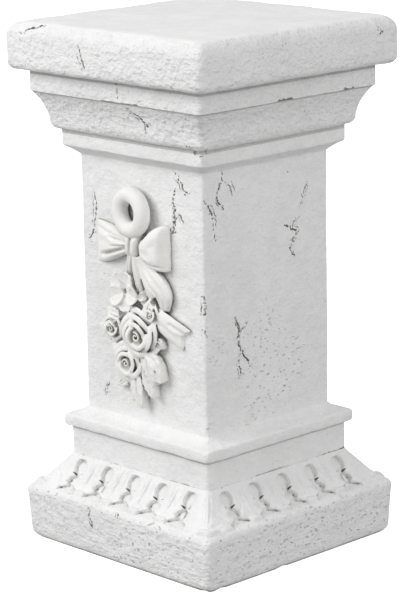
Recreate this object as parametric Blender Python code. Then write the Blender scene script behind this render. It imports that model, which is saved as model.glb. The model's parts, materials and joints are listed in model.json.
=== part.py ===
"""Square garden pedestal cast in one piece, with a bow and roses in relief on its front.

Metres, +Z up. It stands on its underside at z = 0, centred on the Z axis, and its relief faces -Y.
Run with: blender --background --python part.py
"""

import math

import bmesh
import bpy
from mathutils import Matrix, Vector

# Base block
BLOCK_HALF = 0.1450
BLOCK_HEIGHT = 0.0620
BLOCK_TAPER = 0.0025  # the block is this much narrower on each side at the floor
BLOCK_FOOT_ROUND = 0.0090
BLOCK_SHOULDER_ROUND = 0.0080
BLOCK_SHOULDER_TURN = math.radians(60)
BLOCK_CORNER = 0.0070

# Sloping band of leaves
LEAF_BAND_RISE = 0.0350
LEAF_BAND_SAG = 0.0044  # how far the slope's curve dips behind its chord
LEAF_CORNER = 0.0050
LEAF_GAPS = 5  # openings between leaves on each side
LEAF_GAP_DEPTH = 0.0050
LEAF_GAP_WALL = 0.0008  # run of the steep side of an opening
LEAF_RIB_RISE = 0.0012
LEAF_HEAD_RADIUS = 0.0086  # the round top of an opening
LEAF_WAIST = 0.0020  # half the gap where two lobes nearly meet

# Shares of the slope, measured up from the shoulder
LEAF_HEAD_SHARE = 0.735
LEAF_FIRST_TIP_SHARE = 0.51
LEAF_LOBE_PITCH_SHARE = 0.245
LEAF_END_SHARE = 0.05

# Half the gap at the deepest point between two lobes, at the upper and at the lower pair
LEAF_UPPER_NOTCH = 0.0075
LEAF_LOWER_NOTCH = 0.0115

# Neck and the ledge that caps it
NECK_HALF = 0.1073
NECK_HEIGHT = 0.0310
NECK_CORNER = 0.0040
LEDGE_OUT = 0.0060
LEDGE_HEIGHT = 0.0140
LEDGE_ROUND = 0.0030
LEDGE_SLOPE_RISE = 0.0080
LEDGE_SLOPE_SAG = 0.0016

# Shaft
SHAFT_HALF = 0.0943
SHAFT_HEIGHT = 0.2800
SHAFT_CORNER = 0.0035

# Band above the shaft
BAND_OUT = 0.0145
BAND_STEP_RISE = 0.0100
BAND_STEP_SAG = 0.0008
BAND_HEIGHT = 0.0170
BAND_CORNER = 0.0040

# Cove
COVE_HEIGHT = 0.0425
COVE_NOSE_OUT = 0.0083  # how far the cove's lower lip passes the band
COVE_NOSE_RISE = 0.0070
COVE_NOSE_BULGE = 0.0018
COVE_TOP_IN = 0.0010  # the cove ends this far inside the fillet
COVE_SAG = 0.0032
COVE_CORNER = 0.0050

# Fillet and cap slab
FILLET_HALF = 0.1320
FILLET_HEIGHT = 0.0230
FILLET_CORNER = 0.0040
CAP_HALF = 0.1495
CAP_HEIGHT = 0.0525
CAP_FOOT_ROUND = 0.0080
CAP_TOP_ROUND = 0.0160
CAP_CORNER = 0.0090

CORNER_STEPS = 3
ROUND_STEPS = 4

# The relief is free carving: its forms are drawn in units of a share of its height
RELIEF_HEIGHT = 0.2400
RELIEF_UNIT = RELIEF_HEIGHT / 240
RELIEF_DROP = 0.0080  # the relief's middle sits this far under the shaft's middle
RELIEF_ROOT = 0.0030  # how far each form reaches into the shaft

STONE_COLOUR = (0.80, 0.80, 0.79, 1.0)
STONE_ROUGHNESS = 0.88

SHAFT_FOOT = BLOCK_HEIGHT + LEAF_BAND_RISE + NECK_HEIGHT + LEDGE_HEIGHT + LEDGE_SLOPE_RISE
SHAFT_TOP = SHAFT_FOOT + SHAFT_HEIGHT
RELIEF_FOOT = (SHAFT_FOOT + SHAFT_TOP) / 2 - RELIEF_DROP - RELIEF_HEIGHT / 2
ROOT_UNITS = RELIEF_ROOT / RELIEF_UNIT


def clear_scene():
    for thing in list(bpy.data.objects):
        bpy.data.objects.remove(thing, do_unlink=True)


def stone_material():
    stone = bpy.data.materials.new("cast_stone")
    stone.use_nodes = True
    shader = stone.node_tree.nodes["Principled BSDF"]
    shader.inputs["Base Color"].default_value = STONE_COLOUR
    shader.inputs["Roughness"].default_value = STONE_ROUGHNESS
    shader.inputs["Metallic"].default_value = 0.0
    return stone


# The moulded body is a stack of square rings with rounded corners


def square_ring(half, height, corner, inner=()):
    """One ring, as four sides, each with its inner points from left to right and its right corner's arc.

    An inner point is (place along the side, distance behind the side's plane, distance below the ring).
    """
    sides = []
    for quarter in range(4):
        turn = Matrix.Rotation(quarter * math.pi / 2, 3, "Z")
        side = [turn @ Vector((along, back - half, height - drop)) for along, back, drop in inner]
        arc = []
        for step in range(CORNER_STEPS + 1):
            angle = -math.pi / 2 + step / CORNER_STEPS * math.pi / 2
            reach = half - corner
            place = (reach + corner * math.cos(angle), corner * math.sin(angle) - reach, height)
            arc.append(turn @ Vector(place))
        sides.append((side, arc))
    return sides


def arc_points(centre, radius, start, end, steps):
    """Half-widths and heights along an arc in the profile's plane, angles in degrees."""
    points = []
    for step in range(steps + 1):
        angle = math.radians(start + (end - start) * step / steps)
        points.append((centre[0] + radius * math.cos(angle), centre[1] + radius * math.sin(angle)))
    return points


def sagging_point(low, high, sag, share):
    """A point of the curve from low to high that sags behind its chord, and the outward normal there."""
    chord = Vector(high) - Vector(low)
    outward = Vector((chord.y, -chord.x)).normalized()
    place = Vector(low) + chord * share - outward * (4 * sag * share * (1 - share))
    slope = chord - outward * (4 * sag * (1 - 2 * share))
    return place, Vector((slope.y, -slope.x)).normalized()


def curve_points(low, high, sag, steps):
    return [tuple(sagging_point(low, high, sag, step / steps)[0]) for step in range(steps + 1)]


def gap_half_width(share, slope_length):
    """Half the opening between two leaves: a round head above, then pairs of lobes and notches."""
    waist_share = LEAF_HEAD_SHARE - 0.8 * LEAF_HEAD_RADIUS / slope_length
    if share > waist_share:
        off_centre = (share - LEAF_HEAD_SHARE) * slope_length
        return math.sqrt(max(LEAF_HEAD_RADIUS**2 - off_centre**2, LEAF_WAIST**2))
    below_tip = (LEAF_FIRST_TIP_SHARE - share) / LEAF_LOBE_PITCH_SHARE
    if below_tip > 1.5:
        return LEAF_LOWER_NOTCH + LEAF_WAIST * (below_tip - 1.5)
    deepening = min(max(below_tip - 0.5, 0), 1)
    notch = LEAF_UPPER_NOTCH + (LEAF_LOWER_NOTCH - LEAF_UPPER_NOTCH) * deepening
    return LEAF_WAIST + (notch - LEAF_WAIST) * math.sin(math.pi * below_tip) ** 2


def leaf_rings(low, high):
    """Rings of the leaf band, from the block's shoulder to the foot of the neck."""
    slope_length = (Vector(high) - Vector(low)).length
    head_top = LEAF_HEAD_SHARE + LEAF_HEAD_RADIUS / slope_length
    tip_shares = [LEAF_FIRST_TIP_SHARE - LEAF_LOBE_PITCH_SHARE * half / 2 for half in (3, 2, 1, 0)]
    shares = [0, LEAF_END_SHARE, *tip_shares]
    shares += [LEAF_HEAD_SHARE + LEAF_HEAD_RADIUS * part / slope_length for part in (-0.8, 0, 0.75)]
    shares += [head_top + 0.02, 1]
    pitch = 2 * high[0] / LEAF_GAPS
    rings = []
    for share in shares:
        place, outward = sagging_point(low, high, LEAF_BAND_SAG, share)
        on_leaf = LEAF_END_SHARE <= share < 1
        in_gap = LEAF_END_SHARE <= share < head_top
        depth = LEAF_GAP_DEPTH * min(1, 0.6 + share) if in_gap else 0
        rise = LEAF_RIB_RISE if on_leaf else 0
        width = gap_half_width(share, slope_length)
        first = -(LEAF_GAPS - 1) / 2 * pitch
        columns = [((first - width - place.x) / 2, -rise)]
        for gap in range(LEAF_GAPS):
            centre = first + gap * pitch
            edge = width + LEAF_GAP_WALL
            columns += [(centre - edge, 0), (centre - width, depth)]
            columns += [(centre + width, depth), (centre + edge, 0)]
            columns.append((centre + pitch / 2, -rise))
        columns[-1] = (-columns[0][0], -rise)
        inner = [(along, sunk * outward.x, sunk * outward.y) for along, sunk in columns]
        rings.append(square_ring(place.x, place.y, LEAF_CORNER, inner))
    return rings


def body_rings():
    rings = []

    def add(points, corner):
        rings.extend(square_ring(half, height, corner) for half, height in points)

    foot_half = BLOCK_HALF - BLOCK_TAPER
    foot_centre = (foot_half - BLOCK_FOOT_ROUND, BLOCK_FOOT_ROUND)
    add(arc_points(foot_centre, BLOCK_FOOT_ROUND, -90, 0, ROUND_STEPS - 1), BLOCK_CORNER)
    shoulder_centre = (BLOCK_HALF - BLOCK_SHOULDER_ROUND, BLOCK_HEIGHT - BLOCK_SHOULDER_ROUND)
    shoulder_end = math.degrees(BLOCK_SHOULDER_TURN)
    shoulder = arc_points(shoulder_centre, BLOCK_SHOULDER_ROUND, 0, shoulder_end, ROUND_STEPS - 2)
    add(shoulder[:-1], BLOCK_CORNER)

    level = BLOCK_HEIGHT + LEAF_BAND_RISE
    rings.extend(leaf_rings(shoulder[-1], (NECK_HALF, level)))

    level += NECK_HEIGHT
    ledge_half = NECK_HALF + LEDGE_OUT
    add([(NECK_HALF, level)], NECK_CORNER)
    add(arc_points((ledge_half - LEDGE_ROUND, level + LEDGE_ROUND), LEDGE_ROUND, -90, 0, 2), NECK_CORNER)
    level += LEDGE_HEIGHT
    add(arc_points((ledge_half - LEDGE_ROUND, level - LEDGE_ROUND), LEDGE_ROUND, 0, 60, 1), NECK_CORNER)
    slope_foot = (ledge_half - LEDGE_ROUND, level)
    slope_top = (SHAFT_HALF, level + LEDGE_SLOPE_RISE)
    add(curve_points(slope_foot, slope_top, LEDGE_SLOPE_SAG, 2)[1:], SHAFT_CORNER)

    band_foot = (SHAFT_HALF + BAND_OUT, SHAFT_TOP + BAND_STEP_RISE)
    add(curve_points((SHAFT_HALF, SHAFT_TOP), band_foot, BAND_STEP_SAG, 3), BAND_CORNER)
    band_top = (band_foot[0], band_foot[1] + BAND_HEIGHT)
    nose = (band_top[0] + COVE_NOSE_OUT, band_top[1] + COVE_NOSE_RISE)
    add(curve_points(band_top, nose, -COVE_NOSE_BULGE, 2), BAND_CORNER)
    level = band_top[1] + COVE_HEIGHT
    add(curve_points(nose, (FILLET_HALF - COVE_TOP_IN, level), COVE_SAG, ROUND_STEPS)[1:], COVE_CORNER)

    add([(FILLET_HALF, level), (FILLET_HALF, level + FILLET_HEIGHT)], FILLET_CORNER)
    level += FILLET_HEIGHT
    cap_foot_centre = (CAP_HALF - CAP_FOOT_ROUND, level + CAP_FOOT_ROUND)
    add(arc_points(cap_foot_centre, CAP_FOOT_ROUND, -90, 0, 2), CAP_CORNER)
    level += CAP_HEIGHT
    cap_centre = (CAP_HALF - CAP_TOP_ROUND, level - CAP_TOP_ROUND)
    add(arc_points(cap_centre, CAP_TOP_ROUND, 0, 90, ROUND_STEPS), CAP_CORNER)
    return rings


def zip_strip(mesh, lower, upper):
    """Triangles between two rows of vertices that run the same way, whatever their counts."""
    low = high = 0
    while low < len(lower) - 1 or high < len(upper) - 1:
        low_next = (low + 1) / (len(lower) - 1) if low < len(lower) - 1 else 2
        high_next = (high + 1) / (len(upper) - 1) if high < len(upper) - 1 else 2
        if low_next <= high_next:
            mesh.faces.new((lower[low], lower[low + 1], upper[high]))
            low += 1
        else:
            mesh.faces.new((lower[low], upper[high + 1], upper[high]))
            high += 1


def pedestal_body():
    mesh = bmesh.new()
    rings = [
        [([mesh.verts.new(p) for p in side], [mesh.verts.new(p) for p in arc]) for side, arc in ring]
        for ring in body_rings()
    ]
    for lower, upper in zip(rings, rings[1:]):
        for quarter in range(4):
            strips = []
            for ring in (lower, upper):
                side, arc = ring[quarter]
                strips.append([ring[quarter - 1][1][-1], *side, arc[0]])
            zip_strip(mesh, *strips)
            zip_strip(mesh, lower[quarter][1], upper[quarter][1])
    for ring, outward in ((rings[0], False), (rings[-1], True)):
        outline = [vert for _, arc in ring for vert in arc]
        mesh.faces.new(outline if outward else outline[::-1])
    return mesh


# Across a bow's loop: place from its lower to its upper edge, and share of its height off the face
LOOP_SECTION = ((-1, 0.35), (-0.72, 0.85), (-0.3, 1), (0.05, 0.93), (0.4, 1), (0.75, 0.88), (1, 0.4))
LEAF_EDGE_DROP = 0.0022
LEAF_FOLD_DEPTH = 0.0013

FULL_ROSE = ((5, 0.98, 0.62, -0.1), (4, 0.72, 0.84, 0.25), (3, 0.46, 1.0, 0.4))
ROSE_BUD = ((3, 0.92, 0.75, -0.1), (3, 0.55, 1.0, 0.3))


# The relief, drawn on the front face: u runs to the right, v up, and d out of the face, all in relief units


def on_face(u, v, d):
    return Vector((u * RELIEF_UNIT, -SHAFT_HALF - d * RELIEF_UNIT, RELIEF_FOOT + v * RELIEF_UNIT))


def loft(rows):
    """A closed mesh through rows of (u, v, d) points, with flat ends."""
    mesh = bmesh.new()
    made = [[mesh.verts.new(on_face(*point)) for point in row] for row in rows]
    for row, after in zip(made, made[1:]):
        for index in range(len(row)):
            mesh.faces.new((row[index - 1], row[index], after[index], after[index - 1]))
    mesh.faces.new(made[0])
    mesh.faces.new(made[-1])
    bmesh.ops.recalc_face_normals(mesh, faces=mesh.faces)
    return mesh


def lump(u, v, d, across, up, out, turn=0.0, rings=6, sides=10):
    """An ellipsoid with half-sizes across, up and out, turned in the face's plane by degrees."""
    mesh = bmesh.new()
    bmesh.ops.create_uvsphere(mesh, u_segments=sides, v_segments=rings, radius=RELIEF_UNIT)
    # the sphere's poles point out of the face
    squash = Matrix.Diagonal((across, up, out, 1))
    place = Matrix.Translation(on_face(u, v, d))
    spin = Matrix.Rotation(math.radians(90), 4, "X") @ Matrix.Rotation(math.radians(turn), 4, "Z")
    bmesh.ops.transform(mesh, matrix=place @ spin @ squash, verts=mesh.verts)
    return mesh


def ring_of_stone(u, v, d, major, minor, around=18, section=8):
    mesh = bmesh.new()
    rows = []
    for step in range(around):
        turn = 2 * math.pi * step / around
        row = []
        for side in range(section):
            angle = 2 * math.pi * side / section
            reach = major + minor * math.cos(angle)
            place = (u + reach * math.cos(turn), v + reach * math.sin(turn), d + minor * math.sin(angle))
            row.append(mesh.verts.new(on_face(*place)))
        rows.append(row)
    for index, row in enumerate(rows):
        before = rows[index - 1]
        for side in range(section):
            mesh.faces.new((before[side - 1], before[side], row[side], row[side - 1]))
    bmesh.ops.recalc_face_normals(mesh, faces=mesh.faces)
    return mesh


def strip(path, folds=1.0):
    """A ribbon along (u, v, d, half width) points, with two raised folds and its back inside the shaft."""
    rows = []
    for index, (u, v, d, half) in enumerate(path):
        before, after = path[max(index - 1, 0)], path[min(index + 1, len(path) - 1)]
        run = Vector((after[0] - before[0], after[1] - before[1])).normalized()
        side_u, side_v = -run.y * half, run.x * half
        edge = max(d - folds * 2.5, 0.5)
        row = [(u - side_u, v - side_v, -ROOT_UNITS), (u - side_u, v - side_v, edge)]
        row += [(u - side_u * 0.55, v - side_v * 0.55, d), (u, v, d - folds * 0.8)]
        row += [(u + side_u * 0.55, v + side_v * 0.55, d), (u + side_u, v + side_v, edge)]
        row.append((u + side_u, v + side_v, -ROOT_UNITS))
        rows.append(row)
    return loft(rows)


def leaf(base, tip, half_width, root_height, tip_height, bend=0.0):
    """A pointed leaf with a fold down its middle, from base to tip, both (u, v)."""
    run = Vector((tip[0] - base[0], tip[1] - base[1]))
    side = Vector((-run.y, run.x)).normalized()
    steps = 5
    rows = []
    for step in range(steps + 1):
        share = step / steps
        half = half_width * (0.12 + 0.88 * math.sin(math.pi * min(share**0.75, 0.985)))
        sway = side * bend * math.sin(math.pi * share)
        middle = Vector(base) + run * share + sway
        height = root_height + (tip_height - root_height) * share
        left, right = middle - side * half, middle + side * half
        edge = max(height - LEAF_EDGE_DROP / RELIEF_UNIT, 0.4)
        row = [(*left, -ROOT_UNITS), (*left, edge), (*(middle - side * half * 0.4), height)]
        row += [(*middle, height - LEAF_FOLD_DEPTH / RELIEF_UNIT), (*(middle + side * half * 0.4), height)]
        row += [(*right, edge), (*right, -ROOT_UNITS)]
        rows.append(row)
    return loft(rows)


def petal_wall(centre, lean, radius, thickness, start, spread, lip, foot):
    """A curled petal: a wall on an arc round a flower's axis, highest in its middle and opening outwards.

    lean moves each point sideways by how far it stands out of the face, so the flower's axis can tilt.
    """
    rows = []
    steps = 4
    opening = 0.16
    for step in range(steps + 1):
        share = step / steps
        turn = math.radians(start + spread * (share - 0.5))
        crown = math.sin(math.pi * (0.12 + 0.76 * share))
        top = foot + (lip - foot) * (0.45 + 0.55 * crown)
        wall = radius * (1 + opening * (share - 0.5))
        row = []
        for reach, height in (
            (wall - thickness, foot),
            (wall - 0.4 * thickness, top),
            (wall + 0.6 * thickness, top - 0.12 * (lip - foot)),
            (wall, foot),
        ):
            u = centre[0] + reach * math.cos(turn) + lean[0] * height
            v = centre[1] + reach * math.sin(turn) + lean[1] * height
            row.append((u, v, height))
        rows.append(row)
    return loft(rows)


def rose(u, v, radius, height, lean, turn, rounds, sides=10):
    """A rose on an axis that leans: a mound, rounds of curled petals and a tight bud.

    Each round is (petals, share of the radius, share of the height at the lip, share at the foot).
    """
    forms = []
    mound = []
    for share_out, share_up in ((1.0, -0.12), (1.0, 0.2), (0.84, 0.5), (0.4, 0.76)):
        row = []
        for side in range(sides):
            angle = 2 * math.pi * side / sides
            reach, out = radius * share_out, height * share_up
            place_u = u + reach * math.cos(angle) + lean[0] * out
            place_v = v + reach * math.sin(angle) + lean[1] * out
            row.append((place_u, place_v, out))
        mound.append(row)
    forms.append(loft(mound))
    for count, share_out, share_up, share_foot in rounds:
        for petal in range(count):
            start = turn + 360 * (petal + share_out) / count
            size = (radius * share_out, radius * 0.16)
            levels = (height * share_up, height * share_foot)
            forms.append(petal_wall((u, v), lean, *size, start, 400 / count, *levels))
    bud = (radius * 0.2, radius * 0.14, turn, 250, height * 0.98, height * 0.5)
    forms.append(petal_wall((u, v), lean, *bud))
    return forms


def blossom(u, v, d, radius, petals, turn):
    """An open flower: round petals about a raised heart."""
    forms = []
    for petal in range(petals):
        angle = math.radians(turn + 360 * petal / petals)
        reach = radius * 0.56
        place = (u + reach * math.cos(angle), v + reach * math.sin(angle))
        forms.append(lump(*place, d, radius * 0.46, radius * 0.4, radius * 0.28, math.degrees(angle), 5, 8))
    forms.append(lump(u, v, d + radius * 0.16, radius * 0.24, radius * 0.24, radius * 0.24, 0, 4, 6))
    forms.append(lump(u, v, d * 0.4, radius * 0.6, radius * 0.6, d * 0.8, 0, 4, 6))
    return forms


def bow_loop(sections):
    """A puffed ribbon loop through sections of (u, lowest v, highest v, height off the face)."""
    rows = []
    for u, low, high, out in sections:
        middle, half = (low + high) / 2, (high - low) / 2
        row = [(u, middle - half, -ROOT_UNITS)]
        for part, share in LOOP_SECTION:
            row.append((u, middle + half * part, out * share))
        row.append((u, middle + half, -ROOT_UNITS))
        rows.append(row)
    return loft(rows)


def relief_forms():
    forms = [ring_of_stone(-3, 217.5, 10.5, 18, 9.5)]

    # bow: two loops and the knot between them
    left = [(0, 175, 190, 14), (-14, 172, 194, 15), (-32, 164, 198, 15), (-50, 158, 200, 12)]
    left.append((-61, 158, 198, 6))
    right = [(2, 171, 190, 15), (14, 165, 197, 20), (28, 160, 204, 20), (41, 159, 209, 14)]
    right.append((48, 164, 202, 7))
    forms += [bow_loop(left), bow_loop(right), lump(1, 182, 11, 8, 12.5, 9)]

    # ribbon ends under the knot
    forms.append(strip([(-4, 174, 12, 4.5), (-10, 162, 11, 5), (-15, 150, 8, 6)]))
    forms.append(strip([(2, 174, 15, 5), (3, 160, 14, 5.5), (4, 145, 11, 6.5)]))
    wide = [(8, 170, 13, 6), (16, 156, 13, 11), (29, 145, 14, 15), (40, 134, 11, 13), (38, 119, 7, 7)]
    forms.append(strip(wide))
    forms.append(strip([(27, 112, 8, 8), (42, 104, 9, 11), (56, 99, 8, 10), (70, 100, 6, 4.5)]))
    forms.append(strip([(72, 104, 5, 3), (69, 92, 6, 7), (66, 80, 4, 3)]))

    # open blossoms and a bud beside them
    forms += blossom(-18, 130, 11, 23, 5, 62)
    forms += blossom(15, 124, 8, 13, 5, 20)
    forms += rose(23, 112, 9, 14, (0.15, -0.1), 30, ROSE_BUD, 8)

    # roses
    forms += rose(1, 87, 24, 22, (0.4, -0.05), 10, FULL_ROSE)
    forms += rose(-14, 55, 23, 18, (0.1, -0.15), 70, FULL_ROSE)
    forms += rose(-41, 88, 13, 14, (0.1, -0.05), 120, ROSE_BUD, 8)

    # leaves round the flowers
    forms.append(leaf((-36, 86), (-69, 82), 8, 7, 3))
    forms.append(leaf((-24, 104), (-46, 109), 9, 9, 5, 3))
    forms.append(leaf((-26, 56), (-44, 68), 7, 8, 4))
    forms.append(leaf((12, 68), (38, 42), 13, 12, 9, 4))
    forms.append(leaf((12, 48), (28, 20), 8, 10, 7, 2))
    forms.append(leaf((3, 45), (13, 6), 8.5, 11, 8, -2))
    forms.append(leaf((-5, 43), (-7, 5), 8, 10, 6, 2))
    forms.append(leaf((-14, 40), (-36, 23), 7.5, 9, 5))
    forms.append(leaf((26, 86), (38, 74), 8, 9, 5))
    forms.append(lump(2, 54, 3, 22, 17, 9))
    return forms


def object_from(mesh, name):
    data = bpy.data.meshes.new(name)
    mesh.to_mesh(data)
    mesh.free()
    thing = bpy.data.objects.new(name, data)
    bpy.context.scene.collection.objects.link(thing)
    return thing


def joined_relief(body):
    """Unites every form of the relief with the body, through one Boolean on a collection of them."""
    forms = bpy.data.collections.new("relief_forms")
    bpy.context.scene.collection.children.link(forms)
    for index, mesh in enumerate(relief_forms()):
        form = object_from(mesh, f"relief_form_{index}")
        bpy.context.scene.collection.objects.unlink(form)
        forms.objects.link(form)
        form.hide_render = True
        form.display_type = "WIRE"
    union = body.modifiers.new("relief", "BOOLEAN")
    union.operation = "UNION"
    union.solver = "EXACT"
    union.operand_type = "COLLECTION"
    union.collection = forms


def main():
    clear_scene()
    pedestal = object_from(pedestal_body(), "pedestal")
    pedestal.data.materials.append(stone_material())
    joined_relief(pedestal)


main()
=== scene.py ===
import json
import math
import random

import bmesh
import bpy
import numpy as np
from mathutils import Matrix, Vector
from mathutils.bvhtree import BVHTree

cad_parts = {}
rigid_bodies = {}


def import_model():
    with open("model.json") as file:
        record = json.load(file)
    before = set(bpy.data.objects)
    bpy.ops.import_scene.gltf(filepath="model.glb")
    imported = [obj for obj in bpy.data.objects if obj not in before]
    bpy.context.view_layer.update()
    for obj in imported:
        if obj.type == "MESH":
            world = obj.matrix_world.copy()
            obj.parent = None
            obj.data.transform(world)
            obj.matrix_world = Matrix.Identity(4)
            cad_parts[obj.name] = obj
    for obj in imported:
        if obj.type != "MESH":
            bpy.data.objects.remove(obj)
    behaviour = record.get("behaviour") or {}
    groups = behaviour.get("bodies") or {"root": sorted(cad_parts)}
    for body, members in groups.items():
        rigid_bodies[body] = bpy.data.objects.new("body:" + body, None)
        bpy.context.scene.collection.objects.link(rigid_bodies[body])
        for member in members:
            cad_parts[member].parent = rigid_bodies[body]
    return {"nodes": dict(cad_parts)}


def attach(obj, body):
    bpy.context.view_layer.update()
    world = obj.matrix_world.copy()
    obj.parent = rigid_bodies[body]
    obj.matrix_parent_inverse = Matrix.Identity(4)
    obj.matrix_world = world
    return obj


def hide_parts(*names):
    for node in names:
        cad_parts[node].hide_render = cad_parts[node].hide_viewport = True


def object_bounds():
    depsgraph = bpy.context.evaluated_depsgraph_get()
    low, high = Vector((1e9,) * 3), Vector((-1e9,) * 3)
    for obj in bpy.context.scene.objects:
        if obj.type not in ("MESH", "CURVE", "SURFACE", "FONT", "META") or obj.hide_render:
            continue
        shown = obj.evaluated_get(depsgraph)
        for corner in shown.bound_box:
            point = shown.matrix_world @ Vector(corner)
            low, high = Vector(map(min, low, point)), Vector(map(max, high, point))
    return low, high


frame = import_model()
cadLow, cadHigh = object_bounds()
print("frame loaded:", ", ".join(sorted(frame["nodes"])))

mm = 0.001


# small helpers


def selectOnly(piece):
    bpy.ops.object.select_all(action="DESELECT")
    piece.select_set(True)
    bpy.context.view_layer.objects.active = piece


def applyModifier(piece, kind, **settings):
    selectOnly(piece)
    modifier = piece.modifiers.new(kind.lower(), kind)
    for name, value in settings.items():
        setattr(modifier, name, value)
    bpy.ops.object.modifier_apply(modifier=modifier.name)


def readPoints(piece):
    points = np.empty(len(piece.data.vertices) * 3, np.float32)
    piece.data.vertices.foreach_get("co", points)
    return points.reshape(-1, 3).astype(float)


def writePoints(piece, points):
    piece.data.vertices.foreach_set("co", np.asarray(points, np.float32).ravel())
    piece.data.update()


def faceCount(piece):
    return sum(len(face.vertices) - 2 for face in piece.data.polygons)


def joinPieces(pieces):
    bpy.ops.object.select_all(action="DESELECT")
    for piece in pieces:
        piece.select_set(True)
    bpy.context.view_layer.objects.active = pieces[0]
    if len(pieces) > 1:
        bpy.ops.object.join()
    return pieces[0]


def copyPiece(piece, name):
    twin = piece.copy()
    twin.data = piece.data.copy()
    twin.name = name
    bpy.context.scene.collection.objects.link(twin)
    return twin


def cutOrJoin(piece, other, operation):
    applyModifier(piece, "BOOLEAN", operation=operation, solver="MANIFOLD", object=other)
    bpy.data.objects.remove(other, do_unlink=True)


# a flat grid of side 1 round the origin
def addGrid(across, along):
    bpy.ops.object.select_all(action="DESELECT")
    bpy.ops.mesh.primitive_grid_add(x_subdivisions=across, y_subdivisions=along, size=1)
    return bpy.context.object


# the same grid drawn up into a closed slab of height 1
def addSlab(across, along):
    piece = addGrid(across, along)
    bpy.ops.object.mode_set(mode="EDIT")
    bpy.ops.mesh.select_all(action="SELECT")
    bpy.ops.mesh.extrude_region_move(TRANSFORM_OT_translate={"value": (0, 0, 1)})
    bpy.ops.object.mode_set(mode="OBJECT")
    return piece


def addBall():
    bpy.ops.object.select_all(action="DESELECT")
    bpy.ops.mesh.primitive_ico_sphere_add(subdivisions=1, radius=1)
    return bpy.context.object


def turnNormalsOut(piece):
    selectOnly(piece)
    bpy.ops.object.mode_set(mode="EDIT")
    bpy.ops.mesh.select_all(action="SELECT")
    bpy.ops.mesh.normals_make_consistent(inside=False)
    bpy.ops.object.mode_set(mode="OBJECT")


def smoothStep(low, high, value):
    share = np.clip((value - low) / (high - low), 0, 1)
    return share * share * (3 - 2 * share)


def bump(value, width):
    return np.exp(-((value / width) ** 2))


# camera, floor and lights

view = {
    "place": (1.885, -1.828, 0.901),
    "yaw": 46.03,
    "pitch": 13.55,
    "roll": -1.09,
    "focalPixels": 2484,
    "longSidePixels": 597,
    "sensor": 36,
}


def makeCamera():
    yaw, pitch, roll = (math.radians(view[name]) for name in ("yaw", "pitch", "roll"))
    back = Vector((math.sin(yaw) * math.cos(pitch), -math.cos(yaw) * math.cos(pitch), math.sin(pitch)))
    level = Vector((math.cos(yaw), math.sin(yaw), 0))
    up = back.cross(level)
    right = math.cos(roll) * level + math.sin(roll) * up
    top = math.cos(roll) * up - math.sin(roll) * level
    camera = bpy.data.objects.new("camera", bpy.data.cameras.new("camera"))
    bpy.context.scene.collection.objects.link(camera)
    turned = Matrix((right, top, back)).transposed().to_4x4()
    camera.matrix_world = Matrix.Translation(view["place"]) @ turned
    camera.data.sensor_width = view["sensor"]
    camera.data.lens = view["focalPixels"] * view["sensor"] / view["longSidePixels"]
    camera.data.clip_start, camera.data.clip_end = 0.05, 100
    bpy.context.scene.camera = camera


studio = {
    "skyAbove": 0.65, "skyBelow": 0.36, "skyFrom": -0.35, "skyTo": 0.25,
    "floorSize": 60, "floorPaint": 0.9, "floorGlow": 0.90,
    "aim": (0, 0, 0.3),
    "key": {"place": (-0.95, -2.34, 1.85), "size": 1.9, "power": 48},
    "fill": {"place": (2.7, -0.6, 1.44), "size": 1.8, "power": 20},
}


def makeLamp(name):
    lamp = bpy.data.objects.new(name, bpy.data.lights.new(name, "AREA"))
    lamp.data.shape = "DISK"
    lamp.data.size = studio[name]["size"]
    lamp.data.energy = studio[name]["power"]
    bpy.context.scene.collection.objects.link(lamp)
    lamp.location = studio[name]["place"]
    aim = Vector(studio["aim"]) - lamp.location
    lamp.rotation_euler = aim.to_track_quat("-Z", "Y").to_euler()


# an even dome that is darker under the horizon, so that undersides keep their shade
def makeDome():
    world = bpy.data.worlds.new("studio")
    bpy.context.scene.world = world
    world.use_nodes = True
    nodes, links = world.node_tree.nodes, world.node_tree.links
    direction, split, strength = (
        nodes.new(kind) for kind in ("ShaderNodeTexCoord", "ShaderNodeSeparateXYZ", "ShaderNodeMapRange")
    )
    links.new(direction.outputs["Generated"], split.inputs[0])
    links.new(split.outputs["Z"], strength.inputs["Value"])
    for name, value in (
        ("From Min", "skyFrom"), ("From Max", "skyTo"), ("To Min", "skyBelow"), ("To Max", "skyAbove"),
    ):
        strength.inputs[name].default_value = studio[value]
    links.new(strength.outputs[0], nodes["Background"].inputs["Strength"])
    nodes["Background"].inputs["Color"].default_value = (1, 1, 1, 1)


def makeStudio():
    bpy.context.scene.view_settings.view_transform = "Standard"
    makeDome()
    for name in ("key", "fill"):
        makeLamp(name)
    bpy.ops.object.select_all(action="DESELECT")
    bpy.ops.mesh.primitive_plane_add(size=studio["floorSize"])
    floor = bpy.context.object
    floor.name = "floor"
    paint = bpy.data.materials.new("paleFloor")
    paint.use_nodes = True
    shader = paint.node_tree.nodes["Principled BSDF"]
    shader.inputs["Base Color"].default_value = (*[studio["floorPaint"]] * 3, 1)
    shader.inputs["Roughness"].default_value = 0.9
    shader.inputs["Specular IOR Level"].default_value = 0.0
    shader.inputs["Emission Color"].default_value = (1, 1, 1, 1)
    shader.inputs["Emission Strength"].default_value = studio["floorGlow"]
    floor.data.materials.append(paint)
    # the floor is seen but throws no light back, so the hollows keep their shade
    floor.visible_diffuse = False


makeCamera()
makeStudio()
print("camera and studio ready")


# the moulded body: a square drawn up level by level

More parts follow.
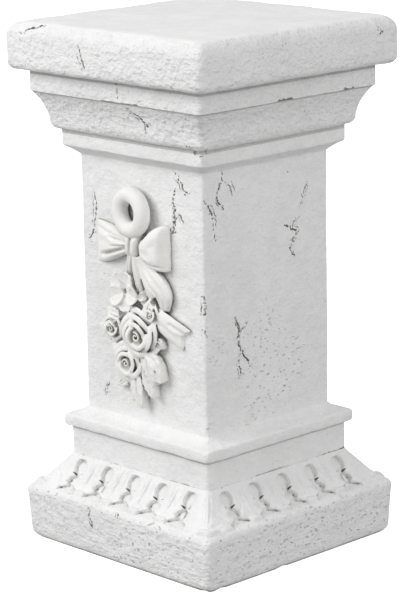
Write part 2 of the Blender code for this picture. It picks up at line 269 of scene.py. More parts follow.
body = {
    "blockHalf": 145.0, "blockHeight": 62.0, "blockTaper": 2.5, "blockFootRound": 9.0,
    "blockShoulderRound": 8.0, "blockCorner": 7.0,
    "bandRise": 35.0, "bandSag": 4.4, "bandCorner": 5.0,
    "neckHalf": 107.3, "neckHeight": 31.0, "neckCorner": 4.0,
    "ledgeOut": 6.0, "ledgeHeight": 14.0, "ledgeRound": 3.0, "ledgeSlope": 8.0, "ledgeSag": 1.6,
    "shaftHalf": 94.3, "shaftHeight": 280.0, "shaftCorner": 3.5,
    "upperBandOut": 14.5, "upperStep": 10.0, "upperStepSag": 0.8, "upperBandHeight": 17.0,
    "upperBandCorner": 4.0,
    "coveHeight": 42.5, "noseOut": 8.3, "noseRise": 7.0, "noseBulge": 1.8, "coveTopIn": 1.0,
    "coveSag": 3.2, "coveCorner": 5.0,
    "filletHalf": 132.0, "filletHeight": 23.0, "filletCorner": 4.0,
    "capHalf": 149.5, "capHeight": 52.5, "capFootRound": 8.0, "capTopRound": 16.0, "capCorner": 9.0,
    "shoulderTurn": 60, "softFrom": 24, "edgeSoft": 1.6, "innerSoft": 0.5,
    "cell": 6.2, "cellShift": 0.137, "footFlat": 1.2, "bodyFaces": 40000,
    "castingFaces": 156000, "smoothTo": 40, "mendTurns": 8, "degenerate": 0.01,
    # the stone's waves: height, size, depth of detail and the share of the height that lies inside
    "waves": {"swell": (1.7, 0.045, 1, 0.7), "lumps": (0.95, 0.014, 2, 0.6)},
}


def arcLevels(half, height, radius, start, end, steps, corner):
    levels = []
    for step in range(steps + 1):
        angle = math.radians(start + (end - start) * step / steps)
        levels.append((half + radius * math.cos(angle), height + radius * math.sin(angle), corner))
    return levels


def sagPoint(low, high, sag, share):
    chord = Vector(high) - Vector(low)
    outward = Vector((chord.y, -chord.x)).normalized()
    place = Vector(low) + chord * share - outward * (4 * sag * share * (1 - share))
    slope = chord - outward * (4 * sag * (1 - 2 * share))
    return place, Vector((slope.y, -slope.x)).normalized()


def sagLevels(low, high, sag, steps, corner):
    return [(*sagPoint(low, high, sag, step / steps)[0], corner) for step in range(steps + 1)]


def shoulderEnd():
    turn = math.radians(body["shoulderTurn"])
    rounding = body["blockShoulderRound"]
    return (
        body["blockHalf"] - rounding + rounding * math.cos(turn),
        body["blockHeight"] - rounding + rounding * math.sin(turn),
    )


def bodyLevels():
    b = body
    foot = b["blockHalf"] - b["blockTaper"]
    corner = b["blockCorner"]
    rounding = b["blockFootRound"]
    levels = arcLevels(foot - rounding, rounding, rounding, -90, 0, 5, corner)
    half, turn, rounding = b["blockHalf"], b["shoulderTurn"], b["blockShoulderRound"]
    levels += arcLevels(half - rounding, b["blockHeight"] - rounding, rounding, 0, turn, 4, corner)
    # the leaf band's ground lies deeper than the leaves that are joined to it
    low, high = shoulderEnd(), (b["neckHalf"], b["blockHeight"] + b["bandRise"])
    length = (Vector(high) - Vector(low)).length
    for up, part in (*leaves["sinks"], (length, 0)):
        sunk = leaves["gapDepth"] * part
        place, outward = sagPoint(low, high, b["bandSag"], up / length)
        place -= outward * sunk
        levels.append((place.x, place.y, b["bandCorner"]))
    height = high[1] + b["neckHeight"]
    corner = b["neckCorner"]
    ledge = b["neckHalf"] + b["ledgeOut"]
    levels.append((b["neckHalf"], height, corner))
    rounding = b["ledgeRound"]
    levels += arcLevels(ledge - rounding, height + rounding, rounding, -90, 0, 3, corner)
    height += b["ledgeHeight"]
    levels += arcLevels(ledge - rounding, height - rounding, rounding, 0, 60, 2, corner)
    slopeTop = (b["shaftHalf"], height + b["ledgeSlope"])
    levels += sagLevels((ledge - rounding, height), slopeTop, b["ledgeSag"], 4, b["shaftCorner"])[1:]
    height = slopeTop[1] + b["shaftHeight"]
    bandFoot = (b["shaftHalf"] + b["upperBandOut"], height + b["upperStep"])
    levels += sagLevels((b["shaftHalf"], height), bandFoot, b["upperStepSag"], 4, b["upperBandCorner"])
    bandTop = (bandFoot[0], bandFoot[1] + b["upperBandHeight"])
    nose = (bandTop[0] + b["noseOut"], bandTop[1] + b["noseRise"])
    levels += sagLevels(bandTop, nose, -b["noseBulge"], 3, b["upperBandCorner"])
    height = bandTop[1] + b["coveHeight"]
    coveTop = (b["filletHalf"] - b["coveTopIn"], height)
    levels += sagLevels(nose, coveTop, b["coveSag"], 8, b["coveCorner"])[1:]
    levels.append((b["filletHalf"], height, b["filletCorner"]))
    height += b["filletHeight"]
    levels.append((b["filletHalf"], height, b["filletCorner"]))
    rounding = b["capFootRound"]
    levels += arcLevels(b["capHalf"] - rounding, height + rounding, rounding, -90, 0, 4, b["capCorner"])
    height += b["capHeight"]
    rounding = b["capTopRound"]
    levels += arcLevels(b["capHalf"] - rounding, height - rounding, rounding, 0, 90, 6, b["capCorner"])
    return levels


# each sharp corner of the profile becomes a small round, and an inner one stays tighter
def softenLevels(levels):
    soft = [levels[0]]
    for before, level, after in zip(levels, levels[1:], levels[2:]):
        place = Vector(level[:2])
        into, out = place - Vector(before[:2]), Vector(after[:2]) - place
        if into.angle(out) < math.radians(body["softFrom"]):
            soft.append(level)
            continue
        inner = into.x * out.y - into.y * out.x < 0
        radius = body["innerSoft"] if inner else body["edgeSoft"]
        cut = min(radius, into.length * 0.45, out.length * 0.45)
        start, end = place - into.normalized() * cut, place + out.normalized() * cut
        for share in (0, 0.5, 1):
            bent = start.lerp(place, share).lerp(place.lerp(end, share), share)
            soft.append((bent.x, bent.y, level[2]))
    return soft + [levels[-1]]


def drawBody():
    levels = softenLevels(bodyLevels())
    widest = max(level[2] for level in levels)
    bpy.ops.object.select_all(action="DESELECT")
    half, height, _ = levels[0]
    bpy.ops.mesh.primitive_plane_add(size=2 * half * mm, location=(0, 0, height * mm))
    piece = bpy.context.object
    bpy.ops.object.transform_apply(location=True)
    bpy.ops.object.mode_set(mode="EDIT")
    bpy.ops.mesh.select_all(action="SELECT")
    for nextHalf, nextHeight, _ in levels[1:]:
        step = (nextHeight - height) * mm
        bpy.ops.mesh.extrude_region_move(TRANSFORM_OT_translate={"value": (0, 0, step)})
        grow = nextHalf / half
        bpy.ops.transform.resize(value=(grow, grow, 1), center_override=(0, 0, nextHeight * mm))
        half, height = nextHalf, nextHeight
    bpy.ops.mesh.select_all(action="SELECT")
    bpy.ops.mesh.normals_make_consistent(inside=False)
    bpy.ops.object.mode_set(mode="OBJECT")
    # the upright edges are rounded, each by its own level's corner
    mesh = bmesh.new()
    mesh.from_mesh(piece.data)
    weight = mesh.edges.layers.float.new("bevel_weight_edge")
    for edge in mesh.edges:
        first, second = (vert.co for vert in edge.verts)
        if first.x * second.x > 0 and first.y * second.y > 0:
            middle = (first.z + second.z) / 2 / mm
            nearest = min(levels, key=lambda level: abs(level[1] - middle))
            edge[weight] = nearest[2] / widest
    mesh.to_mesh(piece.data)
    mesh.free()
    applyModifier(piece, "BEVEL", width=widest * mm, segments=4, limit_method="WEIGHT")
    return piece


def cloudTexture(name, size, depth=1):
    texture = bpy.data.textures.new(name, "CLOUDS")
    texture.noise_scale = size
    texture.noise_depth = depth
    return texture


def keepInBox(piece):
    writePoints(piece, np.clip(readPoints(piece), np.array(cadLow), np.array(cadHigh)))


# cuts the long faces at even steps along each axis, so that the stone's waves have points to move
def cutIntoCells(piece, cell):
    selectOnly(piece)
    bpy.ops.object.mode_set(mode="EDIT")
    bpy.ops.mesh.select_all(action="SELECT")
    bpy.ops.mesh.remove_doubles(threshold=1e-6)
    for axis in range(3):
        low, high = cadLow[axis] / mm, cadHigh[axis] / mm
        count = round((high - low) / cell)
        for step in range(1, count):
            place, normal = [0.0, 0.0, 0.0], [0.0, 0.0, 0.0]
            place[axis] = (low + (high - low) * step / count + body["cellShift"]) * mm
            normal[axis] = 1.0
            bpy.ops.mesh.select_all(action="SELECT")
            bpy.ops.mesh.bisect(plane_co=place, plane_no=normal)
    bpy.ops.mesh.select_all(action="SELECT")
    bpy.ops.mesh.quads_convert_to_tris()
    bpy.ops.object.mode_set(mode="OBJECT")


def makeBody():
    piece = drawBody()
    piece.name = "pedestalCasting"
    cutIntoCells(piece, body["cell"])
    for name, (high, size, depth, middle) in body["waves"].items():
        applyModifier(
            piece, "DISPLACE", texture=cloudTexture(name, size, depth), texture_coords="LOCAL",
            strength=high * mm, mid_level=middle,
        )
    applyModifier(piece, "DECIMATE", ratio=body["bodyFaces"] / faceCount(piece))
    keepInBox(piece)
    points = readPoints(piece)
    points[points[:, 2] < body["footFlat"] * mm, 2] = 0
    writePoints(piece, points)
    return piece


# forms drawn on the front face: u runs to the right, v up and d out of it, in millimetres

relief = {
    "foot": 162.0, "root": -3.0, "leastHeight": 0.8, "cell": 0.62, "faces": 70000,
    "smoothing": 0.5, "smoothTurns": 2, "chalk": 0.35, "chalkSize": 0.004, "leastPoints": 400,
}


def onFace(u, v, d):
    u, v, d = np.broadcast_arrays(np.asarray(u, float), v, d)
    return np.stack([u, -body["shaftHalf"] - d, relief["foot"] + v], axis=-1) * mm


# a thin curved wall: shape gives (u, v, d) for places 0 to 1 along both sides of a grid
def makeSheet(across, along, shape, thickness):
    piece = addGrid(across, along)
    points = readPoints(piece)
    writePoints(piece, onFace(*shape(points[:, 0] + 0.5, points[:, 1] + 0.5)))
    applyModifier(piece, "SOLIDIFY", thickness=thickness * mm, offset=0.0)
    turnNormalsOut(piece)
    return piece


# a closed form: shape gives its front and back its rear for the same grid places
def makeSlab(across, along, shape, back):
    piece = addSlab(across, along)
    points = readPoints(piece)
    front = points[:, 2] > 0.5
    places = points[:, 0] + 0.5, points[:, 1] + 0.5
    shown, hidden = (np.stack(np.broadcast_arrays(*form(*places)), axis=-1) for form in (shape, back))
    chosen = np.where(front[:, None], shown, hidden)
    writePoints(piece, onFace(chosen[:, 0], chosen[:, 1], chosen[:, 2]))
    turnNormalsOut(piece)
    return piece


def makeLump(u, v, d, across, up, out, turn=0.0, segments=24, rings=16):
    bpy.ops.object.select_all(action="DESELECT")
    bpy.ops.mesh.primitive_uv_sphere_add(segments=segments, ring_count=rings, radius=1)
    piece = bpy.context.object
    points = readPoints(piece) * (across, up, out)
    cosine, sine = math.cos(math.radians(turn)), math.sin(math.radians(turn))
    turnedU = points[:, 0] * cosine - points[:, 1] * sine
    turnedV = points[:, 0] * sine + points[:, 1] * cosine
    writePoints(piece, onFace(u + turnedU, v + turnedV, d + points[:, 2]))
    turnNormalsOut(piece)
    return piece


# values along a path through the points, bending smoothly at each
def smoothPath(points, shares):
    points = np.asarray(points, float)
    last = len(points) - 1
    place = np.clip(shares, 0, 1) * last
    index = np.minimum(place.astype(int), last - 1)
    t = (place - index)[:, None]
    before, start = points[np.maximum(index - 1, 0)], points[index]
    end, after = points[index + 1], points[np.minimum(index + 2, last)]
    startSlope, endSlope = (end - before) / 2, (after - start) / 2
    return (
        start * (2 * t**3 - 3 * t**2 + 1) + startSlope * (t**3 - 2 * t**2 + t)
        + end * (3 * t**2 - 2 * t**3) + endSlope * (t**3 - t**2)
    )


# the direction of a path at the same shares, looking a little way to both sides
def pathRun(points, shares, look):
    ahead, behind = (smoothPath(points, np.clip(shares + side * look, 0, 1)) for side in (1, -1))
    run = (ahead - behind)[:, :2]
    return run / np.maximum(np.linalg.norm(run, axis=1), 1e-6)[:, None]


def makeRing(u, v, d, major, minor, lean):
    bpy.ops.object.select_all(action="DESELECT")
    bpy.ops.mesh.primitive_torus_add(
        major_radius=major, minor_radius=minor, major_segments=96, minor_segments=48
    )
    piece = bpy.context.object
    points = readPoints(piece)
    turn = math.radians(lean)
    turnedU = points[:, 0] * math.cos(turn) - points[:, 2] * math.sin(turn)
    turnedD = points[:, 0] * math.sin(turn) + points[:, 2] * math.cos(turn)
    writePoints(piece, onFace(u + turnedU, v + points[:, 1], d + turnedD))
    turnNormalsOut(piece)
    return piece


bow = {
    # a loop runs through sections of (u, lowest v, highest v, height off the face)
    "left": [
        (0, 175, 190, 13), (-14, 171, 193, 15.5), (-32, 163, 198, 15.5), (-52, 156.5, 201, 10),
        (-67, 155, 201, 2),
    ],
    "right": [
        (2, 174, 188, 8), (10, 172, 190, 12), (16, 169.5, 192, 18.5), (23, 165, 198, 21),
        (32, 160.5, 205, 21.5), (42, 159, 208.5, 18), (46.5, 160, 206.5, 5),
    ],
    # a fold runs from its first place (u, v) to its second, so wide and so deep
    "leftFolds": [
        ((-64, 194), (-6, 187), 2.4, 2.6), ((-38, 187), (-6, 184.5), 1.5, 3.8),
        ((-54, 164.5), (-8, 179.5), 2.2, 6.0), ((-60, 180), (-34, 181), 5.0, 1.2),
        ((-34, 177.5), (-4, 181.5), 1.4, 2.6),
    ],
    "rightFolds": [
        ((14, 168.5), (46, 164.5), 1.3, 2.8), ((13, 187), (26, 197), 3.0, 1.2),
        ((14, 179), (32, 177), 3.5, 1.2), ((34, 190), (46, 180), 6.0, 1.6), ((13, 172), (27, 169), 1.8, 1.6),
    ],
    # a strap of the knot: its middle u, half width and height off the face
    "straps": [(-7.0, 4.2, 16.0), (3.4, 5.0, 18.0)], "strapMiddle": 182, "strapReach": 11.5, "strapBack": 10,
}


def foldDepth(u, v, folds):
    depth = np.zeros_like(u)
    for (startU, startV), (endU, endV), width, deep in folds:
        run = np.array([endU - startU, endV - startV], float)
        length = np.hypot(*run)
        along = ((u - startU) * run[0] + (v - startV) * run[1]) / length**2
        off = ((u - startU) * -run[1] + (v - startV) * run[0]) / length
        fade = smoothStep(-0.15, 0.2, along) * (1 - smoothStep(0.9, 1.2, along))
        depth += deep * bump(off, width) * fade
    return depth


def makeLoop(sections, folds, undercut):
    def place(s, t):
        u, low, high, out = smoothPath(sections, s).T
        part = 2 * t - 1
        middle, half = (low + high) / 2, (high - low) / 2
        v = middle + half * part
        puff = (1 - np.abs(part) ** 3.2) ** 0.5
        return u, v, out, puff, middle, half

    def shape(s, t):
        u, v, out, puff, _, _ = place(s, t)
        ends = smoothStep(1.0, 0.93, s)
        d = out * (0.35 + 0.65 * puff) * (0.55 + 0.45 * ends)
        return u, v, d - foldDepth(u, v, folds) * puff

    def back(s, t):
        u, v, _, _, middle, _ = place(s, t)
        return u * (1 - 0.04 * s), middle + (v - middle) * undercut, np.full_like(u, relief["root"])

    return makeSlab(70, 60, shape, back)


def makeStrap(middle, half, out):
    v, reach = bow["strapMiddle"], bow["strapReach"]

    def shape(s, t):
        across, up = 2 * s - 1, 2 * t - 1
        wide = half * (0.84 + 0.16 * up**2)
        d = out * np.sqrt(np.clip(1 - 0.30 * across**4 - 0.55 * np.abs(up) ** 4, 0.02, 1))
        d -= 1.5 * bump(across + 0.15, 0.2) + 2.2 * np.abs(across) ** 3
        return middle + across * wide + 0.9 * up, v + up * reach, d

    def back(s, t):
        across, up = 2 * s - 1, 2 * t - 1
        return middle + across * half * 0.5, v + up * bow["strapBack"], np.full_like(s, relief["root"])

    return makeSlab(30, 40, shape, back)


# a ribbon along (u, v, d, half width), with creases of (place across, width, depth, where they begin)
def makeRibbon(path, creases=(), undercut=0.6, camber=2.6, endNotch=0.0):
    def place(s, t):
        run = pathRun(path, s, 0.02)
        across = 2 * t - 1
        u, v, d, half = smoothPath(path, s).T
        reach = endNotch * smoothStep(0.7, 1, s) * (np.abs(across) - 0.5)
        return (
            u - run[:, 1] * half * across + run[:, 0] * reach,
            v + run[:, 0] * half * across + run[:, 1] * reach, d, across, u, v,
        )

    def shape(s, t):
        u, v, d, across, _, _ = place(s, t)
        high = d - camber * np.abs(across) ** 2.5
        for centre, width, deep, begin in creases:
            high = high - deep * bump(across - centre, width) * smoothStep(begin, begin + 0.15, s)
        return u, v, np.maximum(high, 0.9)

    def back(s, t):
        u, v, _, _, middleU, middleV = place(s, t)
        return (
            middleU + (u - middleU) * undercut, middleV + (v - middleV) * undercut,
            np.full_like(u, relief["root"]),
        )

    return makeSlab(90, 44, shape, back)


def makeSprig(base, tip, halfWidth, rootHeight, tipHeight, bend):
    run = np.array([tip[0] - base[0], tip[1] - base[1]], float)
    ahead = run / np.hypot(*run)
    side = np.array([-ahead[1], ahead[0]])
    teeth, undercut = flowers["sprigTeeth"], flowers["sprigUndercut"]

    def place(s, t):
        across = 2 * t - 1
        outline = 0.12 + 0.88 * np.sin(np.pi * np.clip(s**0.78, 0, 0.985)) ** 0.8
        tooth = 1 + 0.14 * np.abs(np.sin(np.pi * teeth * s)) * np.abs(across) ** 3
        sway = bend * np.sin(np.pi * s)
        off = halfWidth * outline * tooth * across + sway
        sweep = 2.4 * across**2 * (1 - s)
        u, v = (base[axis] + run[axis] * s + side[axis] * off + ahead[axis] * sweep for axis in (0, 1))
        middleU, middleV = (base[axis] + run[axis] * s + side[axis] * sway for axis in (0, 1))
        return u, v, across, middleU, middleV

    def shape(s, t):
        u, v, across, _, _ = place(s, t)
        high = rootHeight + (tipHeight - rootHeight) * s + 1.6 * np.sin(np.pi * s)
        high = high - 1.6 * np.abs(across) ** 3 + 0.6 * across**2 * np.sin(2 * np.pi * teeth * s)
        # one deep fold down the middle and two lesser ones that spread from the base
        high = high - 2.6 * bump(across, 0.13) * (1 - 0.35 * s)
        high = high - 1.5 * bump(np.abs(across) - 0.5, 0.11) * smoothStep(0.08, 0.35, s)
        return u, v, np.maximum(high, relief["leastHeight"])

    def back(s, t):
        u, v, _, middleU, middleV = place(s, t)
        return (
            middleU + (u - middleU) * undercut, middleV + (v - middleV) * undercut,
            np.full_like(u, relief["root"]),
        )

    return makeSlab(70, 40, shape, back)


# a rose petal: a wall on an arc about the rose's axis, its lip rolled outwards
def makePetalWall(centre, lean, radius, thickness, start, spread, lip, foot, roll):
    def shape(s, t):
        turn = np.radians(start + spread * (s - 0.5))
        crown = np.sin(np.pi * (0.10 + 0.80 * s)) ** 0.6
        top = foot + (lip - foot) * (0.45 + 0.55 * crown)
        wall = radius * (1 + rose["overlap"] * (s - 0.5))
        rise = np.clip(t / 0.7, 0, 1)
        # past the lip the petal folds outwards as a broad flat collar
        curl = np.clip((t - 0.7) / 0.3, 0, 1) * math.pi
        reach = wall * (0.76 + 0.24 * rise**1.4) + roll * 1.5 * (1 - np.cos(curl))
        high = foot + (top - foot) * rise + roll * (0.5 * np.sin(curl) - 0.4 * (1 - np.cos(curl)))
        high = high + 0.5 * np.sin(np.radians(start * 3) + 9 * s) * rise
        return (
            centre[0] + reach * np.cos(turn) + lean[0] * high,
            centre[1] + reach * np.sin(turn) + lean[1] * high, high,
        )

    return makeSheet(40, 34, shape, thickness)


rose = {
    "overlap": 0.32, "spread": 440, "wall": 0.045, "wallLeast": 0.6,
    # rounds of (petals, share of the radius, lip and foot as shares of the height, roll of the lip)
    "full": [(5, 0.92, 0.58, -0.10, 1.8), (4, 0.69, 0.80, 0.10, 1.6), (3, 0.46, 0.96, 0.30, 1.2)],
    "bud": [(4, 0.88, 0.70, -0.1, 0.9), (3, 0.52, 1.0, 0.3, 0.7)],
    "fullHeart": {"turns": 1.3, "inner": 0.04, "outer": 0.24, "foot": 0.5, "top": 0.99},
    "budHeart": {"turns": 1.1, "inner": 0.08, "outer": 0.30, "foot": 0.5, "top": 1.02},
}


# a rose on an axis that leans: a core, rounds of rolled petals and a rolled heart
def makeRose(u, v, radius, height, lean, turn, rounds, heart):
    forms = []
    wall = radius * rose["wall"] + rose["wallLeast"]
    core = makeLump(
        u + lean[0] * height * 0.2, v + lean[1] * height * 0.2, 0, radius * 0.9, radius * 0.9, height * 0.62
    )
    points = readPoints(core)
    out = (-points[:, 1] / mm - body["shaftHalf"]).clip(0)
    points[:, 0] += lean[0] * out * 0.7 * mm
    points[:, 2] += lean[1] * out * 0.7 * mm
    writePoints(core, points)
    forms.append(core)
    for count, reach, lip, foot, roll in rounds:
        for petal in range(count):
            start = turn + 360 * (petal + reach) / count
            forms.append(makePetalWall(
                (u, v), lean, radius * reach, wall, start, rose["spread"] / count,
                height * lip, height * foot, roll,
            ))

    def heartWall(s, t):
        angle = np.radians(turn + heart["turns"] * 360 * s)
        reach = radius * (heart["inner"] + (heart["outer"] - heart["inner"]) * s)
        high = height * (heart["foot"] + (heart["top"] - heart["foot"]) * t) - 0.06 * height * (1 - s)
        return (u + reach * np.cos(angle) + lean[0] * high, v + reach * np.sin(angle) + lean[1] * high, high)

    forms.append(makeSheet(90, 8, heartWall, wall))
    return forms


def makeBlossom(u, v, d, radius, petals, turn, stamens):
    forms = []
    for petal in range(petals):
        angle = math.radians(turn + 360 * petal / petals)
        tilt = 1.3 * (-1) ** petal

        def place(s, t, angle=angle):
            across = 2 * t - 1
            half = radius * 0.47 * np.sin(np.pi * np.clip(0.08 + 0.80 * s, 0, 1)) ** 0.7
            reach = radius * (0.14 + 0.86 * s * (1 - 0.12 * across**2))
            reach = reach - radius * 0.08 * bump(across, 0.2) * s**4
            side, cosine, sine = half * across, math.cos(angle), math.sin(angle)
            return reach * cosine - side * sine, reach * sine + side * cosine, across

        def shape(s, t, tilt=tilt):
            off, up, across = place(s, t)
            cup = 3.4 * np.abs(across) ** 2.6 * np.sin(np.pi * np.clip(s, 0.05, 1)) ** 0.5 + 2.6 * s**3
            edge = smoothStep(1.0, 0.93, s) * smoothStep(1.0, 0.92, np.abs(across))
            heart = 1 - smoothStep(0.05, 0.35, s)
            high = d - 2.4 + cup + tilt - 2.2 * (1 - edge) - 0.9 * bump(across, 0.1) - 2.2 * heart
            return u + off, v + up, high

        def back(s, t):
            off, up, _ = place(s, t)
            return u + off * 0.45, v + up * 0.45, np.full_like(s, relief["root"])

        forms.append(makeSlab(30, 30, shape, back))
    forms.append(makeLump(u, v, d + 3.0, radius * 0.17, radius * 0.17, 3.8))
    for stamen in range(stamens):
        turned = math.radians(360 * stamen / stamens)
        reach = radius * 0.27
        forms.append(makeLump(
            u + reach * math.cos(turned), v + reach * math.sin(turned), d + 3.4,
            radius * 0.16, radius * 0.036, 1.1, 360 * stamen / stamens, 12, 8,
        ))
    return forms


# where the forms of the relief are, from the ring down to the lowest leaves
flowers = {
    "ring": (-3, 217.5, 10.8, 18.8, 8.7, 5),
    # each ribbon: its path through (u, v, height, half width), its creases and how it is drawn
    "ribbons": [
        ([(-4, 176, 13, 3.2), (-9, 163, 12, 4.2), (-15, 148, 7, 5)], [(0.1, 0.2, 1.4, 0)], {}),
        ([(2, 176, 15, 3.4), (3, 160, 15, 4.2), (4, 143, 12, 5), (3, 126, 6, 5)], [(-0.1, 0.2, 1.6, 0)], {}),
        (
            [
                (7, 171, 14, 4.5), (16, 157, 14, 10.5), (29, 145, 15.5, 15), (39, 133, 12.5, 13),
                (37, 117, 7, 7),
            ],
            [(-0.25, 0.14, 1.8, 0), (0.35, 0.16, 1.4, 0), (-0.62, 0.1, 1.1, 0.1)],
            {"camber": 4.5, "undercut": 0.5},
        ),
        (
            [(22, 112, 8, 8), (38, 105, 10.5, 12), (53, 98, 9.5, 13), (66, 91, 5.5, 14)],
            [(0.32, 0.16, 2.4, 0.45), (-0.3, 0.25, 1.2, 0)],
            {"camber": 2.8, "endNotch": 8, "undercut": 0.45},
        ),
    ],
    # u, v, height, radius, petals, turn and stamens
    "blossoms": [(-18, 130, 13, 24, 5, 62, 13), (14, 126, 9, 11, 5, 20, 7)],
    # u, v, radius, height, lean, turn and kind
    "roses": [
        (23, 112, 9, 15, (0.15, -0.1), 30, "bud"), (1, 87, 24, 22, (0.4, -0.05), 10, "full"),
        (-13, 55, 21, 18, (0.1, -0.12), 70, "full"), (-39, 87, 12.5, 14, (0.1, -0.05), 120, "bud"),
    ],
    # each leaf: its base and tip, half width, heights at both and bend
    "sprigs": [
        ((-36, 86), (-65, 85), 6, 9, 5, 0), ((-26, 100), (-49, 106), 9, 10, 7, 3),
        ((-26, 56), (-44, 68), 7, 8, 5, 0), ((22, 126), (17, 106), 7, 10, 13, 0),
        ((10, 68), (37, 39), 13, 14, 12, 4), ((19, 66), (27, 34), 7, 16, 13, 0),
        ((10, 48), (23, 19), 7.5, 12, 11, 2), ((1, 45), (6, 5), 8, 13, 12, -2),
        ((-5, 43), (-10, 10), 7, 10, 8, 2), ((-14, 40), (-36, 23), 7.5, 9, 6, 0),
        ((26, 86), (37, 75), 7, 10, 6, 0),
    ],
    "sprigTeeth": 4, "sprigUndercut": 0.35,
    # a low swelling under the roses
    "cushion": (2, 54, 3, 20, 15, 8),
}


def makeReliefForms():
    forms = [makeRing(*flowers["ring"])]
    forms.append(makeLoop(bow["left"], bow["leftFolds"], 0.4))
    forms.append(makeLoop(bow["right"], bow["rightFolds"], 0.75))
    for strap in bow["straps"]:
        forms.append(makeStrap(*strap))
    for path, creases, drawn in flowers["ribbons"]:
        forms.append(makeRibbon(path, creases, **drawn))
    for blossom in flowers["blossoms"]:
        forms += makeBlossom(*blossom)
    for *place, kind in flowers["roses"]:
        forms += makeRose(*place, rose[kind], rose[kind + "Heart"])
    for sprig in flowers["sprigs"]:
        forms.append(makeSprig(*sprig))
    forms.append(makeLump(*flowers["cushion"]))
    return forms


def makeRelief():
    forms = makeReliefForms()
    piece = joinPieces(forms)
    print("relief forms joined:", len(forms), "forms,", faceCount(piece), "triangles")
    applyModifier(piece, "REMESH", mode="VOXEL", voxel_size=relief["cell"] * mm)
    applyModifier(piece, "SMOOTH", factor=relief["smoothing"], iterations=relief["smoothTurns"])
    applyModifier(
        piece, "DISPLACE", texture=cloudTexture("chalk", relief["chalkSize"]), texture_coords="LOCAL",
        strength=relief["chalk"] * mm, mid_level=0.5,
    )
    dropLooseShells(piece, reachesShaft)
    applyModifier(piece, "DECIMATE", ratio=relief["faces"] / faceCount(piece))
    return piece


# the shells of a mesh, each as a list of its points
def findShells(mesh):
    seen = set()
    shells = []
    for vert in mesh.verts:
        if vert in seen:
            continue
        shell, waiting = [], [vert]
        seen.add(vert)
        while waiting:
            current = waiting.pop()
            shell.append(current)
            for edge in current.link_edges:
                other = edge.other_vert(current)
                if other not in seen:
                    seen.add(other)
                    waiting.append(other)
        shells.append(shell)
    return shells


def dropLooseShells(piece, keep):
    mesh = bmesh.new()
    mesh.from_mesh(piece.data)
    shells = findShells(mesh)
    most = max(len(shell) for shell in shells)
    doomed = [vert for shell in shells if not keep(shell, most) for vert in shell]
    print("loose points dropped:", len(doomed))
    bmesh.ops.delete(mesh, geom=doomed, context="VERTS")
    mesh.to_mesh(piece.data)
    mesh.free()


# a form of the relief is kept when it is large and reaches into the shaft
def reachesShaft(shell, most):
    inmost = max(vert.co.y for vert in shell)
    return len(shell) > relief["leastPoints"] and inmost > -(body["shaftHalf"] - 1) * mm


def isLargest(shell, most):
    return len(shell) == most


# edges without exactly two faces go with the faces around them, and the holes they leave are closed
def closeMesh(piece):
    mesh = bmesh.new()
    mesh.from_mesh(piece.data)
    for turn in range(body["mendTurns"]):
        bmesh.ops.dissolve_degenerate(mesh, dist=body["degenerate"] * mm, edges=mesh.edges)
        bmesh.ops.delete(mesh, geom=[edge for edge in mesh.edges if not edge.link_faces], context="EDGES")
        torn = [edge for edge in mesh.edges if len(edge.link_faces) != 2]
        print("open or shared edges:", len(torn))
        if not torn:
            break
        doomed = {
            face for edge in torn if turn or len(edge.link_faces) > 2
            for vert in edge.verts for face in vert.link_faces
        }
        bmesh.ops.delete(mesh, geom=list(doomed), context="FACES")
        bmesh.ops.holes_fill(mesh, edges=[edge for edge in mesh.edges if len(edge.link_faces) == 1], sides=0)
        bmesh.ops.triangulate(mesh, faces=[face for face in mesh.faces if len(face.verts) > 3])
    bmesh.ops.recalc_face_normals(mesh, faces=mesh.faces)
    mesh.to_mesh(piece.data)
    mesh.free()


# the band of leaves: one leaf is drawn flat, then laid on the slope

leaves = {
    "count": 5, "gapDepth": 5.2, "headRadius": 8.6, "waist": 1.9, "headUp": 36.2, "tipUp": 25.1,
    "lobePitch": 12.1, "upperNotch": 8.8, "lowerNotch": 14.0, "overlap": 0.25, "closed": 3, "wallBelow": 3.4,
    "tileBelow": 5.4, "tileFaces": 2000, "cornerFaces": 4400, "cornerRound": 6.0, "cornerSpread": 1.5,
    # how far the ground sinks at each place up the slope, as a share of the depth
    "sinks": [(2, 0.04), (5, 0.28), (9, 0.66), (14, 0.92), (20, 1), (32, 1), (43.5, 1), (46.2, 0.1)],
    # the drill holes: how far up and off the middle, and their depth as a share
    "holes": [(19.4, 7.6, 1.0), (7.6, 12.4, 0.5)],
}
leaves["pitch"] = 2 * body["neckHalf"] / leaves["count"]


def slopeEnds():
    low, high = shoulderEnd(), (body["neckHalf"], body["blockHeight"] + body["bandRise"])
    return low, high, (Vector(high) - Vector(low)).length


# half the opening between two leaves at a height up the slope
def gapHalf(up):
    head = np.sqrt(np.maximum(leaves["headRadius"] ** 2 - (up - leaves["headUp"]) ** 2, 0))
    below = (leaves["tipUp"] - up) / leaves["lobePitch"]
    notch = leaves["upperNotch"] + (leaves["lowerNotch"] - leaves["upperNotch"]) * np.clip(below - 0.5, 0, 1)
    lobes = leaves["waist"] + (notch - leaves["waist"]) * np.abs(np.sin(np.pi * below)) ** 0.9
    lobes = np.where(below > 1, np.maximum(lobes, 5.0 + 9.0 * (below - 1)), lobes)
    lobes = np.where(below > 1.5, leaves["lowerNotch"] + 1.5 * (below - 1.5) ** 2, lobes)
    waistUp = leaves["headUp"] - 0.9 * leaves["headRadius"]
    return np.where(up > waistUp, np.where(up < leaves["headUp"] + leaves["headRadius"], head, 0), lobes)


